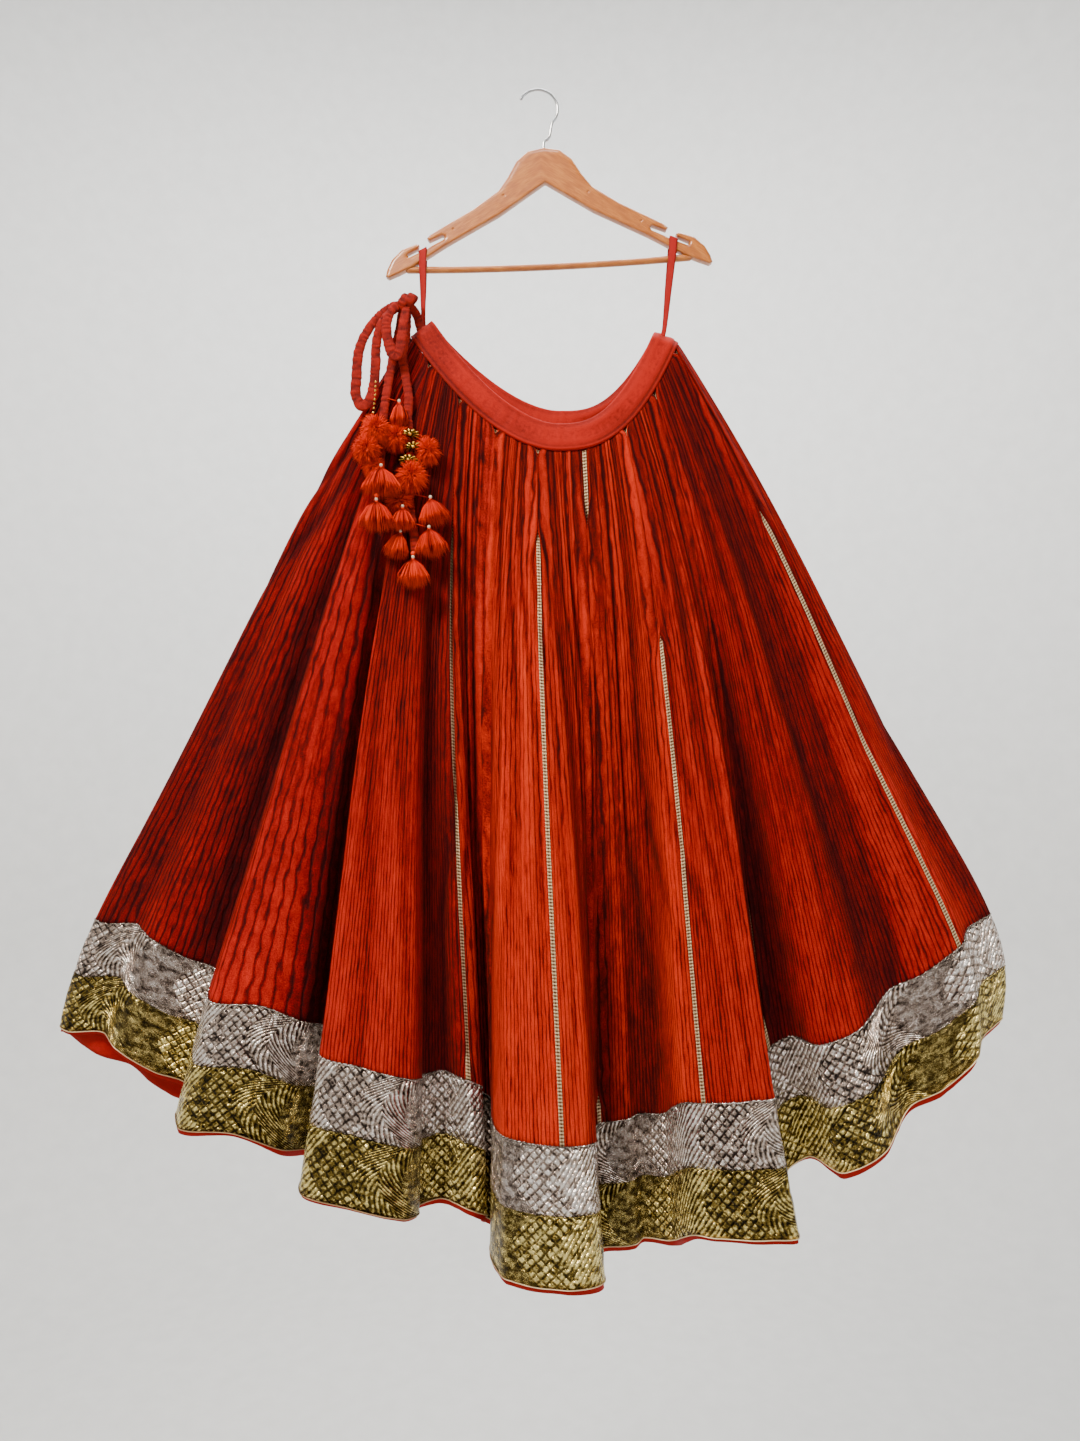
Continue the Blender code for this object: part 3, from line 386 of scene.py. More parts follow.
def make_gota(name, dark, middle, light, roughness):
    """Embossed metallic strip. With u along the strip and v down it, u plus a slow sine of v is cut into zones,
    and each zone takes one ornament in turn: a lattice, which is the smaller of two crossed rectified sines,
    leaf veins, whose strokes climb away from a stem, slanting stripes, and a stipple of noise. The colour also holds
    painted light:
    the same relief paints shade into its grooves, as do the zone edges and the low parts of the crumple, broad noise
    patches are painted reflection, and small noise spots are painted glints."""
    material, tree, shader = new_material(name, roughness=roughness, metallic=0.9)
    split = add_node(tree, "SeparateXYZ", {0: add_node(tree, "TexCoord").outputs["UV"]}).outputs
    u, v = split[0], split[1]

    def maths(operation, *values):
        return add_node(tree, "Math", dict(enumerate(values)), operation=operation).outputs[0]

    def ridges(distance, pitch):
        return maths("ABSOLUTE", maths("SINE", maths("MULTIPLY", distance, math.pi / pitch)))

    lattice = maths("MINIMUM", ridges(maths("ADD", u, v), DIAMOND), ridges(maths("SUBTRACT", u, v), DIAMOND))
    lattice = maths("MINIMUM", maths("MULTIPLY", lattice, 1.5), 1.0)
    swing = maths("MULTIPLY", maths("SINE", maths("MULTIPLY", v, math.pi / STRIP)), 0.55)
    zone = maths("ADD", maths("DIVIDE", u, ORNAMENT), swing)
    part = maths("FRACT", zone)
    kind = maths("MODULO", maths("FLOOR", zone), 5.0)
    stem = maths("MULTIPLY", maths("ABSOLUTE", maths("SUBTRACT", part, 0.5)), ORNAMENT)
    veins = ridges(maths("SUBTRACT", v, maths("MULTIPLY", stem, 1.1)), STROKE)
    stripes = ridges(maths("ADD", maths("MULTIPLY", u, 0.8), maths("MULTIPLY", v, 0.55)), STROKE * 0.8)
    stipple = valleys(tree, (190, 190, 1), 7.0, detail=1.0)
    relief = stipple
    for number, ornament in ((0.0, lattice), (1.0, veins), (3.0, lattice), (4.0, stripes)):
        chosen = maths("COMPARE", kind, number, 0.1)
        relief = maths("MULTIPLY_ADD", chosen, maths("SUBTRACT", ornament, relief), relief)
    edge = maths("MINIMUM", maths("MULTIPLY", maths("MINIMUM", part, maths("SUBTRACT", 1.0, part)), 14.0), 1.0)
    crumple = pattern(tree, "TexNoise", (45, 38, 1), detail=1.0, roughness=0.5)
    glint = pattern(tree, "TexNoise", (230, 230, 1), detail=1.0, roughness=0.6)
    painted_reflection = pattern(tree, "TexNoise", (16, 22, 1), detail=3.0, roughness=0.65)
    # Painted light: the relief, the zone edges and the crumple paint shade into grooves and low parts, the broad
    # noise patches paint reflection, and the glint noise paints small highlights. Each kind of zone also has its own
    # tone.
    tone = sum_of(
        tree, (relief, 0.42), (edge, 0.1), (kind, 0.07), (glint, 0.25), (painted_reflection, 2.5), (crumple, 0.7), (1.0, -1.74),
    )
    add_node(
        tree, "ValToRGB", {"Fac": tone},
        stops=((0.0, dark), (0.45, middle), (0.9, light)),
        feeds=shader.inputs["Base Color"],
    )
    relief_height = sum_of(tree, (relief, 0.4), (crumple, 0.7), (glint, 0.02), (edge, 0.15))
    add_node(
        tree, "Bump", {"Height": relief_height, "Distance": 5.0 * MM},
        feeds=shader.inputs["Normal"],
    )
    return material


def make_ribbon_gota():
    """Pale gold ladder braid: rungs 4 mm apart between two raised rails, dark where the cloth shows through."""
    material, tree, shader = new_material("gota_ladder_braid", roughness=0.42, metallic=0.55)
    split = add_node(tree, "SeparateXYZ", {0: add_node(tree, "TexCoord").outputs["UV"]}).outputs
    rung = add_node(tree, "Math", {0: split[1], 1: math.tau / (4 * MM)}, operation="MULTIPLY").outputs[0]
    rung = add_node(tree, "Math", {0: rung}, operation="SINE").outputs[0]
    rail = add_node(tree, "Math", {0: split[0], 1: 0.5}, operation="SUBTRACT").outputs[0]
    rail = add_node(tree, "Math", {0: rail}, operation="ABSOLUTE").outputs[0]
    fray = pattern(tree, "TexNoise", (5, 900, 1), detail=2.0)
    height = sum_of(tree, (rung, 0.3), (rail, 0.9), (fray, 0.4))
    add_node(
        tree, "ValToRGB", {"Fac": height},
        stops=((0.0, "#3c1408"), (0.3, "#a07c54"), (0.8, "#ecd2a6")),
        feeds=shader.inputs["Base Color"],
    )
    add_node(
        tree, "Bump", {"Height": height, "Distance": 0.8 * MM},
        feeds=shader.inputs["Normal"],
    )
    return material


SILVER_GOTA = make_gota("silver_gota", "#342a25", "#bda99b", "#fff8f2", 0.26)
GOLD_GOTA = make_gota("gold_gota", "#221b06", "#7a6428", "#ffea94", 0.26)
RIBBON_GOTA = make_ribbon_gota()
print("materials", len(bpy.data.materials))

# %% [markdown]
# The cloth is one surface with two parameters. The first is the share of the way round: 0 to 1 goes along the
# front from left to right, and 1 to 2 back along the rear. The second is the share of the way down, from 0 at
# the waist seam to 1 at the hem. A line of cloth leaves the waistband square to it, bends down and ends on the
# hem's own curve, which swings in and out where the folds are.

# %% Sizes of the skirt
WALL_Y = 20 * MM
SEAM_LOW_X, SEAM_LOW_DROP = 21 * MM, 457 * MM
SEAM_LEFT = {"span": 188 * MM, "rise": 148 * MM, "power": 1.85}
SEAM_RIGHT = {"span": 152 * MM, "rise": 137 * MM, "power": 2.6}
BACK_LIFT = 22 * MM
WAIST_MID_OUT, WAIST_HALF_GAP, WAIST_TURN_SHARE = 22 * MM, 10 * MM, 0.03
BAND_HEIGHT, BAND_THICKNESS, CASING_SLOT = 34 * MM, 5.5 * MM, 0.012
SKIRT_LENGTH, SEAM_GAP, CLOTH = 1000 * MM, 0.3 * MM, 1.6 * MM
PANELS, PANEL_SHARE, FIRST_SEAM = 16, 2 / 16, 0.10
BULGE_LEFT, BULGE_RIGHT, BULGE_INNER, BULGE_OUTER = 0.045, 0.11, 300, 580
LEAN_OUT, FOLD_POWER = 150 * MM, 1.15
SILVER_TOP, GOLD_TOP, HEM = 0.845, 0.922, 1.0

# The front hem from left to right. Columns: share round, millimetres right of the hook, millimetres out
# from the wall, millimetres of length taken up by soft bends.
FRONT_HEM = (
    (0.000, -607, 19, 26), (0.007, -592, 30, 30), (0.018, -546, 34, 52), (0.030, -524, 50, 50),
    (0.045, -476, 50, 44), (0.056, -440, 40, 40), (0.064, -440, 78, 20), (0.072, -424, 106, 18),
    (0.082, -362, 112, 34), (0.090, -310, 94, 22), (0.096, -286, 56, 14), (0.104, -262, 58, 8),
    (0.112, -282, 96, 4), (0.123, -276, 134, 0), (0.145, -220, 146, 2), (0.172, -158, 140, 0),
    (0.184, -144, 112, 0), (0.196, -146, 78, 2), (0.208, -120, 62, 8), (0.225, -82, 76, 4),
    (0.250, -66, 62, 0), (0.280, -72, 38, 0), (0.330, -56, 34, 0), (0.380, -62, 64, 6),
    (0.400, -58, 108, 8), (0.425, -38, 148, 8), (0.475, 30, 163, 10), (0.510, 70, 146, 12),
    (0.535, 73, 98, 10), (0.570, 70, 62, 6), (0.600, 74, 42, 6), (0.630, 116, 54, 12),
    (0.650, 128, 44, 12), (0.668, 160, 58, 10), (0.684, 168, 92, 24), (0.700, 181, 120, 34),
    (0.725, 205, 130, 26), (0.755, 254, 150, 16), (0.785, 292, 150, 4), (0.805, 296, 100, 2),
    (0.850, 303, 48, 18), (0.872, 334, 42, 22), (0.890, 364, 82, 4), (0.920, 418, 72, 4),
    (0.945, 456, 44, 26), (0.960, 492, 58, 34), (0.975, 532, 60, 50), (0.986, 546, 42, 61),
    (0.994, 566, 30, 60), (1.000, 582, 19, 58),
)

# The folds of the back hem, from the right side to the left: width and depth in millimetres.
BACK_FOLDS = ((86, 16), (118, 22), (70, 14), (98, 24), (134, 18), (76, 24), (108, 14), (90, 20), (124, 24),
              (72, 14), (104, 20), (92, 16))
BACK_NEAREST_OUT, TURN_INSET, TURN_BACK_OUT = 3, 8, 8


def back_hem_rows():
    """Each back fold starts near the wall and bends in at its middle."""
    first, last = FRONT_HEM[-1], FRONT_HEM[0]
    total = sum(width for width, _ in BACK_FOLDS)
    start, span = first[1] - TURN_INSET, last[1] - first[1] + 2 * TURN_INSET
    rows, done = [(1.008, start, TURN_BACK_OUT, first[3])], 0
    for width, depth in BACK_FOLDS:
        for inside, reach in ((0.18, 0), (0.58, depth)):
            share = (done + inside * width) / total
            taken = first[3] + (last[3] - first[3]) * share
            rows.append((1.02 + 0.96 * share, start + span * share, BACK_NEAREST_OUT + reach, taken))
        done += width
    return rows + [(1.992, last[1] + TURN_INSET, TURN_BACK_OUT, last[3])]


HEM_ROWS = list(FRONT_HEM) + back_hem_rows()
HEM_SHARES = np.array([row[0] for row in HEM_ROWS] + [2.0])
HEM_POINTS = np.array([row[1:] for row in HEM_ROWS], float)
print("hem rows", len(HEM_ROWS))


# %% The waist seam and the hem
def seam_curve():
    """Two power curves that meet at the lowest point of the waist seam: rise = height * distance ^ power."""
    left, right = np.linspace(-1, 0, 60), np.linspace(0, 1, 60)[1:]
    x = np.concatenate([SEAM_LOW_X + SEAM_LEFT["span"] * left, SEAM_LOW_X + SEAM_RIGHT["span"] * right])
    z = np.concatenate([
        -SEAM_LOW_DROP + SEAM_LEFT["rise"] * np.abs(left) ** SEAM_LEFT["power"],
        -SEAM_LOW_DROP + SEAM_RIGHT["rise"] * right ** SEAM_RIGHT["power"],
    ])
    along = np.concatenate([[0], np.cumsum(np.hypot(np.diff(x), np.diff(z)))])
    return along / along[-1], x, z, along[-1]


SEAM_SHARE, SEAM_X, SEAM_Z, SEAM_LENGTH = seam_curve()


def waist(share):
    """(points, directions across the band towards its top) for shares round the waist."""
    share = np.mod(share, 2)
    front = np.where(share <= 1, share, 2 - share)
    side = np.minimum(front, 1 - front) * np.where(share <= 1, 1, -1)
    turn = np.sin(np.clip(side / WAIST_TURN_SHARE, -1, 1) * math.pi / 2)
    ahead, behind = np.minimum(front + 0.01, 1), np.maximum(front - 0.01, 0)
    dx = np.interp(ahead, SEAM_SHARE, SEAM_X) - np.interp(behind, SEAM_SHARE, SEAM_X)
    dz = np.interp(ahead, SEAM_SHARE, SEAM_Z) - np.interp(behind, SEAM_SHARE, SEAM_Z)
    long = np.hypot(dx, dz)
    lift = np.where(share > 1, BACK_LIFT * np.sin(math.pi * front), 0)
    out = WAIST_MID_OUT + WAIST_HALF_GAP * turn
    points = np.stack([np.interp(front, SEAM_SHARE, SEAM_X), WALL_Y - out,
                       np.interp(front, SEAM_SHARE, SEAM_Z) + lift], axis=-1)
    return points, np.stack([-dz / long, np.zeros_like(dx), dx / long], axis=-1)


def hem(share):
    """(x, out, taken up) in millimetres: cubics through the rows, whose slopes follow the neighbouring rows."""
    at = np.interp(np.mod(share, 2), HEM_SHARES, np.arange(len(HEM_SHARES)))
    index = np.minimum(at.astype(int), len(HEM_POINTS) - 1)
    w = (at - index)[..., None]
    a, b, c, d = (HEM_POINTS[(index + k) % len(HEM_POINTS)] for k in (-1, 0, 1, 2))
    chord = np.linalg.norm(c - b, axis=-1, keepdims=True)
    leave, reach = unit(c - a) * chord * 0.8, unit(d - b) * chord * 0.8
    return ((2 * w**3 - 3 * w**2 + 1) * b + (w**3 - 2 * w**2 + w) * leave
            + (3 * w**2 - 2 * w**3) * c + (w**3 - w**2) * reach)


def smooth_cloth(share, down):
    """Points of the cloth without its gathers. share and down are arrays of one shape."""
    seam, across = waist(share)
    goal = hem(share)
    dx = goal[..., 0] * MM - seam[..., 0]
    dy = WALL_Y - goal[..., 1] * MM - seam[..., 1]
    drop = np.sqrt((SKIRT_LENGTH - goal[..., 2] * MM) ** 2 - dx**2 - dy**2)
    side = np.clip((np.abs(goal[..., 0]) - BULGE_INNER) / (BULGE_OUTER - BULGE_INNER), 0, 1)
    bulge = np.where(goal[..., 0] > 0, BULGE_RIGHT, BULGE_LEFT) * side
    bulge = bulge * np.sin(math.pi * np.clip(down, 0, 1) ** 4)
    lean = LEAN_OUT * down * (1 - np.clip(down, 0, 1)) ** 2
    x = seam[..., 0] + dx * (down + bulge) - across[..., 0] * lean
    return np.stack([x, seam[..., 1] + dy * np.maximum(down, 0) ** FOLD_POWER, seam[..., 2] - drop * down], axis=-1)


FINE_SHARES = np.linspace(0, 2, 8001)
HEM_LINE = hem(FINE_SHARES)[:, :2] * MM
HEM_ALONG = np.concatenate([[0], np.cumsum(np.linalg.norm(np.diff(HEM_LINE, axis=0), axis=1))])
print("waist seam", round(2 * SEAM_LENGTH, 3), "m round, hem", round(HEM_ALONG[-1], 3), "m round")


def hem_metres(share):
    """How far along the hem a share lies, in metres."""
    return np.interp(share, FINE_SHARES, HEM_ALONG)


# %% [markdown]
# A cord is a section carried along a path. The path is a smooth curve through a few given points, and
# the section is an ellipse whose girth swells and shrinks a little, as gathered cloth round a core does.


# %% Tubes along a path
def lengths(line):
    """How far along a line each of its points lies."""
    return np.concatenate([[0], np.cumsum(np.linalg.norm(np.diff(line, axis=0), axis=1))])


def place(rows):
    """Points in metres from rows of millimetres right of the hook, below it and out from the wall."""
    rows = np.atleast_2d(np.array(rows, float)) * MM
    return np.stack([rows[:, 0], WALL_Y - rows[:, 2], -rows[:, 1]], axis=-1)


def smooth_path(spots, pitch):
    """A Catmull-Rom curve through the spots, as points about pitch apart."""
    spots = np.concatenate([2 * spots[:1] - spots[1:2], spots, 2 * spots[-1:] - spots[-2:-1]])
    a, b, c, d = (spots[k:len(spots) - 3 + k, None] for k in range(4))
    w = np.linspace(0, 1, 24, endpoint=False)[None, :, None]
    fine = 0.5 * (2 * b + (c - a) * w + (2 * a - 5 * b + 4 * c - d) * w**2 + (3 * b - a - 3 * c + d) * w**3)
    fine = np.concatenate([fine.reshape(-1, 3), spots[-2:-1]])
    along = lengths(fine)
    at = np.linspace(0, along[-1], max(8, round(along[-1] / pitch)))
    return np.stack([np.interp(at, along, fine[:, k]) for k in range(3)], axis=-1)


def add_tube(name, path, wide, thick, material, replaced=(), faced=(0, -1, 0), sides=14, ribs=0.0, seed=0):
    """At each point of the path an ellipse, wide across and thick towards faced. Slanted ribs of noise move its
    surface out and in, and both ends are rounded: the girth there is a quarter circle, closed by a pole."""
    along = unit(np.gradient(path, axis=0))
    across = unit(np.cross(np.broadcast_to(faced, path.shape), along))
    front = np.cross(along, across)
    s, angle = lengths(path)[:, None], np.arange(sides)[None] / sides * math.tau
    rib = (noise(s / (2.3 * MM) + 0.5 * np.sin(angle), 3 + 0.7 * np.cos(angle), seed) - 0.5) * ribs
    wide, thick = (np.broadcast_to(value, s[:, 0].shape)[:, None] for value in (wide, thick))
    from_end = np.clip(np.minimum(s, s[-1] - s) / (thick / 2), 0.03, 1)
    girth = np.sqrt(1 - (1 - from_end) ** 2)
    x, y = np.cos(angle) * (wide / 2 + rib) * girth, np.sin(angle) * (thick / 2 + rib) * girth
    points = path[:, None] + across[:, None] * x[..., None] + front[:, None] * y[..., None]
    points = np.concatenate([np.repeat(path[:1, None], sides, 1), points, np.repeat(path[-1:, None], sides, 1)])
    at = np.concatenate([s[:1], s, s[-1:]])
    around = np.arange(sides + 1)[None] / sides * math.pi * float(wide.max() + thick.max()) / 2
    uv = np.stack(np.broadcast_arrays(at, around), axis=-1)
    # Painted shade: fold makes the ribs that stand out lighter and the dips between them darker.
    fold = np.clip(0.5 + np.concatenate([rib[:1], rib, rib[-1:]]) / max(ribs, 1e-6), 0, 1)
    flags = {"fold": np.broadcast_to(fold, points.shape[:2]).ravel()}
    return close_up(add_grid(name, points, uv, material, replaced, wrap=True, flags=flags))


# %% [markdown]
# The drawstring is a bias-cut cotton tube with gathered ribs, 11 mm wide where it lies flat. It leaves the
# casing at both of its mouths and is tied in a bow. Its two free ends hang under their own weight and carry
# the tassels. A cord's route is a given list, and these are the routes that the solids have too.

# %% The drawstring
CORD_WIDE, CORD_THICK, CORD_PITCH = 11 * MM, 3.4 * MM, 1.0 * MM
CORD_RIBS, BOW_RIBS = 1.1 * MM, 1.2 * MM
KNOT_CENTRE, KNOT_SIZE = (-168, 274, 37), (12, 8, 8)
STEM_STRAIGHT, STEM_BEND = 4 * MM, (-157, 284, 29)
LOOP_LEFT = (
    (-170, 275, 37), (-186, 279, 38), (-202, 292, 39), (-219, 316, 40), (-227, 340, 41), (-229, 368, 41),
    (-230, 388, 41), (-223, 403, 41), (-213, 397, 42), (-207, 378, 43), (-205, 352, 44), (-203, 322, 45),
    (-196, 300, 44), (-184, 286, 42), (-170, 277, 39),
)
LOOP_RIGHT = (
    (-171, 276, 40), (-182, 284, 46), (-190, 302, 50), (-189, 322, 52), (-183, 343, 53), (-176, 343, 53),
    (-172, 328, 53), (-170, 310, 52), (-168, 292, 49), (-167, 278, 40),
)
END_LEFT = (
    (-173, 282.1, 33), (-178, 312, 35), (-184, 338, 36), (-188, 362, 38), (-191, 382, 40), (-194, 404, 42),
    (-196, 430, 44), (-197, 456, 46), (-199, 482, 49), (-200, 508, 52), (-200, 526, 53),
)
END_RIGHT = (
    (-167, 282.5, 36), (-168, 312, 36), (-172, 338, 38), (-170, 356, 39), (-167, 374, 40), (-164, 394, 42),
    (-165, 414, 43), (-163, 440, 45), (-161, 464, 47), (-160, 494, 51), (-161, 528, 56), (-156, 560, 61),
    (-153, 592, 64),
)
cords = {}
for side, route in (("left", END_LEFT), ("right", END_RIGHT)):
    path = smooth_path(place(route), CORD_PITCH)
    name = "drawstring_end_" + side
    cord = add_tube("cord_" + side, path, CORD_WIDE, CORD_THICK, CORD_COTTON, [name], ribs=CORD_RIBS,
                    seed=41 if side == "left" else 43)
    cords[side] = cord, path
    print("drawstring end", side, round(lengths(path)[-1], 3), "m")
for side, route, seed in (("left", LOOP_LEFT, 45), ("right", LOOP_RIGHT, 47)):
    path = smooth_path(place(route), CORD_PITCH)
    middle = np.sin(math.pi * np.linspace(0, 1, len(path)))
    add_tube("bow_loop_" + side, path, CORD_WIDE * (0.85 + 0.35 * middle), CORD_THICK, CORD_COTTON,
             ["drawstring_bow"], ribs=BOW_RIBS, seed=seed)
for side, share, turn in (("front", CASING_SLOT, -1), ("back", 2 - CASING_SLOT, 1)):
    foot, up = (value[0] for value in waist(np.array([share])))
    away = unit(waist(np.array([share + 0.006]))[0][0] - waist(np.array([share - 0.006]))[0][0]) * turn
    mouth = foot + up * (SEAM_GAP + BAND_HEIGHT / 2) - away * 1 * MM
    spots = [mouth, mouth + away * STEM_STRAIGHT, place(STEM_BEND)[0], place(KNOT_CENTRE)[0]]
    path = smooth_path(np.array(spots), CORD_PITCH)
    add_tube("bow_stem_" + side, path, CORD_WIDE, CORD_THICK, CORD_COTTON, ["drawstring_bow"],
             ribs=CORD_RIBS, seed=49)


def add_knot():
    """The knot: the cord wound round where the loops cross. The path is a helix about the X axis with an oval
    turn, and the section faces away from that axis."""
    turns = np.linspace(-0.2, 1.75, 90) * math.tau
    outwards = np.stack([0 * turns, -np.cos(turns), np.sin(turns)], axis=-1)
    radii = np.array([0, KNOT_SIZE[2] - 0.5, KNOT_SIZE[1] + 1.5]) * MM * (1 + 0.12 * np.sin(1.7 * turns))[:, None]
    outwards[:, 0] = 0.55 * outwards[:, 2]
    path = place(KNOT_CENTRE) + unit(outwards) * radii.max(axis=1, keepdims=True)
    path[:, 0] += (np.linspace(7, -8, len(turns)) + 1.5 * np.sin(turns)) * MM
    add_tube("bow_knot", path, CORD_WIDE * 1.05, CORD_THICK, CORD_COTTON, ["drawstring_bow"],
             faced=outwards, ribs=BOW_RIBS, seed=51)


add_knot()
print("bow: two loops, two stems and a knot")

# %% [markdown]
# Gathering turns a wide edge into a row of small pleats. They are sharp in the valleys and round on the
# crests, so each row of them is a rectified sine whose phase wanders with noise. Fine gathers leave the
# band, merge into deeper folds lower down, and these fade into the large folds that the hem already has.

# %% Gathers, creases and pleats
# Rows: share down, depth in millimetres of the fine gathers, of the middle folds and of the creases.
GATHER_DEPTHS = (
    (0.000, 1.2, 0.6, 0.0), (0.030, 2.6, 2.0, 0.5), (0.090, 2.8, 4.2, 2.0), (0.200, 2.2, 6.2, 5.0),
    (0.350, 1.4, 7.4, 8.0), (0.520, 0.9, 7.2, 8.2), (0.700, 0.6, 5.6, 6.6), (0.845, 0.3, 2.6, 4.0),
    (1.000, 0.0, 0.8, 2.5),
)
GATHER_PITCH = 5.6 * MM
FOLD_PITCH = 13 * MM
SEAM_CRESTS = (0.0, 0.6, 0.0, 1.0, 0.0, 1.0, 0.3, 0.9, 0.4, 0.7, 0.2, 0.8, 0.4, 0.6, 0.2, 0.5)
CREASE_FACING = (0.35, 0.8)
CREASES_PER_PANEL = 3

# Which stretch of each seam's braid shows. Rows: seam, share down where it comes out, share where it tucks in.
# The last column is how much the pleats beside it still cover: 0 leaves it bare.
BRAID_SHOWS = (
    (0, 0.90, 0.95, 0), (1, 0.20, 0.90, 0.8), (2, 0.90, 0.95, 0), (3, 0.15, 0.90, 0),
    (4, -0.1, 0.05, 0.3), (5, 0.31, 0.90, 0.1), (6, 0.62, 0.90, 0.75), (7, 0.27, 0.90, 0),
    (8, 0.3, 0.9, 0), (9, 0.1, 0.9, 0.4), (10, 0.4, 0.9, 0), (11, 0.05, 0.9, 0),
    (12, 0.2, 0.9, 0.5), (13, 0.5, 0.9, 0), (14, 0.15, 0.9, 0), (15, 0.3, 0.9, 0.3),
)
FOLD_RANGE = 60
TUCK_DEPTH, TUCK_REACH, TUCK_WIDTH = 5.5 * MM, 8.4 * MM, 9 * MM


def depth_of(column, down):
    rows = np.array(GATHER_DEPTHS)
    return np.interp(down, rows[:, 0], rows[:, column]) * MM


def pleats(share, down, pitch, wander, seed):
    """Rectified sine with a wandering phase: |sin(pi * (w / pitch + wander * noise))| ^ 0.7, times an uneven
    height."""
    w = share * SEAM_LENGTH / pitch
    phase = wander * noise(w * 0.33, down * 3.1, seed)
    tall = 0.35 + 0.65 * noise(w * 0.8 + phase, down * 2.3, seed + 1)
    return np.abs(np.sin(math.pi * (w + phase))) ** 0.7 * tall


def creases(share):
    """The broad creases, from 0 to 1: a cosine between seams that rides higher or lower at each seam."""
    seam = (share - FIRST_SEAM) / PANEL_SHARE
    part = seam - np.floor(seam)
    nearest = np.round(seam).astype(int) % PANELS
    near = np.clip(1 - np.minimum(part, 1 - part) * 4.5, 0, 1)
    wave = 0.5 - 0.5 * np.cos(math.tau * part * CREASES_PER_PANEL)
    uneven = 0.7 + 0.3 * np.sin(5.3 * share * math.pi + 0.7)
    return np.array(SEAM_CRESTS)[nearest] * near + uneven * wave * (1 - near)


def hidden(seam, down):
    """1 where a seam's braid is tucked away, 0 where it shows."""
    _, out, back, covered = BRAID_SHOWS[seam]
    return 1 - (1 - covered) * step(out - 0.05, out, down) * (1 - step(back, back + 0.05, down))


def cloth(share, down):
    """(points, outward normals, crest values) of the finished cloth. The smooth surface is moved along its
    normal by gathers, folds and creases, and beside a hidden seam its crests also lean over the seam."""
    tiny = 0.0012
    base = smooth_cloth(share, down)
    around = smooth_cloth(share + tiny, down) - smooth_cloth(share - tiny, down)
    fall = smooth_cloth(share, down + 0.012) - smooth_cloth(share, np.maximum(down - 0.012, 0))
    normal = unit(np.cross(fall, around))
    facing = np.clip((np.abs(normal[..., 1]) - CREASE_FACING[0]) / (CREASE_FACING[1] - CREASE_FACING[0]), 0, 1)
    fine = pleats(share, down, GATHER_PITCH, 1.6, 2)
    middle = pleats(share, down, FOLD_PITCH, 2.2, 4)
    crease = creases(share)
    height = (fine - 0.6) * depth_of(1, down) + (middle - 0.5) * depth_of(2, down) * (0.4 + 0.6 * facing)
    height = height + crease * depth_of(3, down) * facing
    spread = np.linalg.norm(around, axis=-1) / (2 * tiny)
    shift = np.zeros_like(height)
    for seam in range(PANELS):
        away = (np.mod(share - FIRST_SEAM - seam * PANEL_SHARE + 1, 2) - 1) * spread
        amount = hidden(seam, down) * step(-0.008, 0.010, down) * (1 - step(0.80, 0.845, down))
        near = np.exp(-((away / (0.55 * TUCK_WIDTH)) ** 2))
        beside = np.exp(-(((np.abs(away) - TUCK_WIDTH) / (0.5 * TUCK_WIDTH)) ** 2))
        height = height - near * amount * TUCK_DEPTH + beside * amount * 0.5 * TUCK_DEPTH
        shift = shift - np.sign(away) * beside * amount * TUCK_REACH
    points = base + normal * height[..., None] + unit(around) * shift[..., None]
    # Painted shade for the crest values: a fold that lies recessed between its neighbours at the hem is darker and
    # one that stands out is lighter, and the same goes for the crests and valleys of the gathers and creases.
    around_it = sum(hem(share + step_away)[..., 1] for step_away in (-0.05, -0.025, 0.025, 0.05)) / 4
    stands = np.clip((hem(share)[..., 1] - around_it) / FOLD_RANGE, -0.5, 0.5) * step(0.1, 0.8, down)
    fine_share, middle_share = np.interp(down, (0, 0.3), (0.9, 0.2)), np.interp(down, (0, 0.8), (0.8, 0.4))
    value = (0.5 + (fine - 0.6) * fine_share + (middle - 0.5) * middle_share + 0.2 * (crease - 0.5) + 0.75 * stands)
    return points, normal, np.clip(value, 0, 1)


# %% [markdown]
# Each gore is one piece, so that it stands for its own solid. The grid's columns follow the gore's own
# spacing, halfway between even along the waist and even along the hem, and the back has a coarser grid.

# %% The gores
FRONT_GRID, BACK_GRID = (140, 84), (84, 56)
EVEN_HEM = 0.6
WAIST_CUT = 80 * MM
# How orange each gore's cloth is, from 0, crimson, to 1, orange: partly the colour it was dyed and partly painted
# shade, as the crimson colours are darker and the gores at the sides of the front are kept low.
GORE_DYE_AND_PAINTED_SHADE = (0.2, 0.5, 1.0, 0.7, 0.85, 0.35, 0.15, 0.1, 0.4, 0.6, 0.3, 0.8, 0.5, 0.7, 0.3, 0.05)


def gore_shares(gore, columns):
    """Shares of a gore's columns, spaced by 0.6 of the way along its hem and 0.4 of its share round."""
    start = FIRST_SEAM + gore * PANEL_SHARE
    shares = np.linspace(start, start + PANEL_SHARE, 400)
    line = hem(shares)[:, :2]
    along = np.concatenate([[0], np.cumsum(np.linalg.norm(np.diff(line, axis=0), axis=1))])
    measure = EVEN_HEM * along / along[-1] + (1 - EVEN_HEM) * np.linspace(0, 1, len(shares))
    return np.interp(np.linspace(0, 1, columns + 1), measure, shares), along[-1] * MM


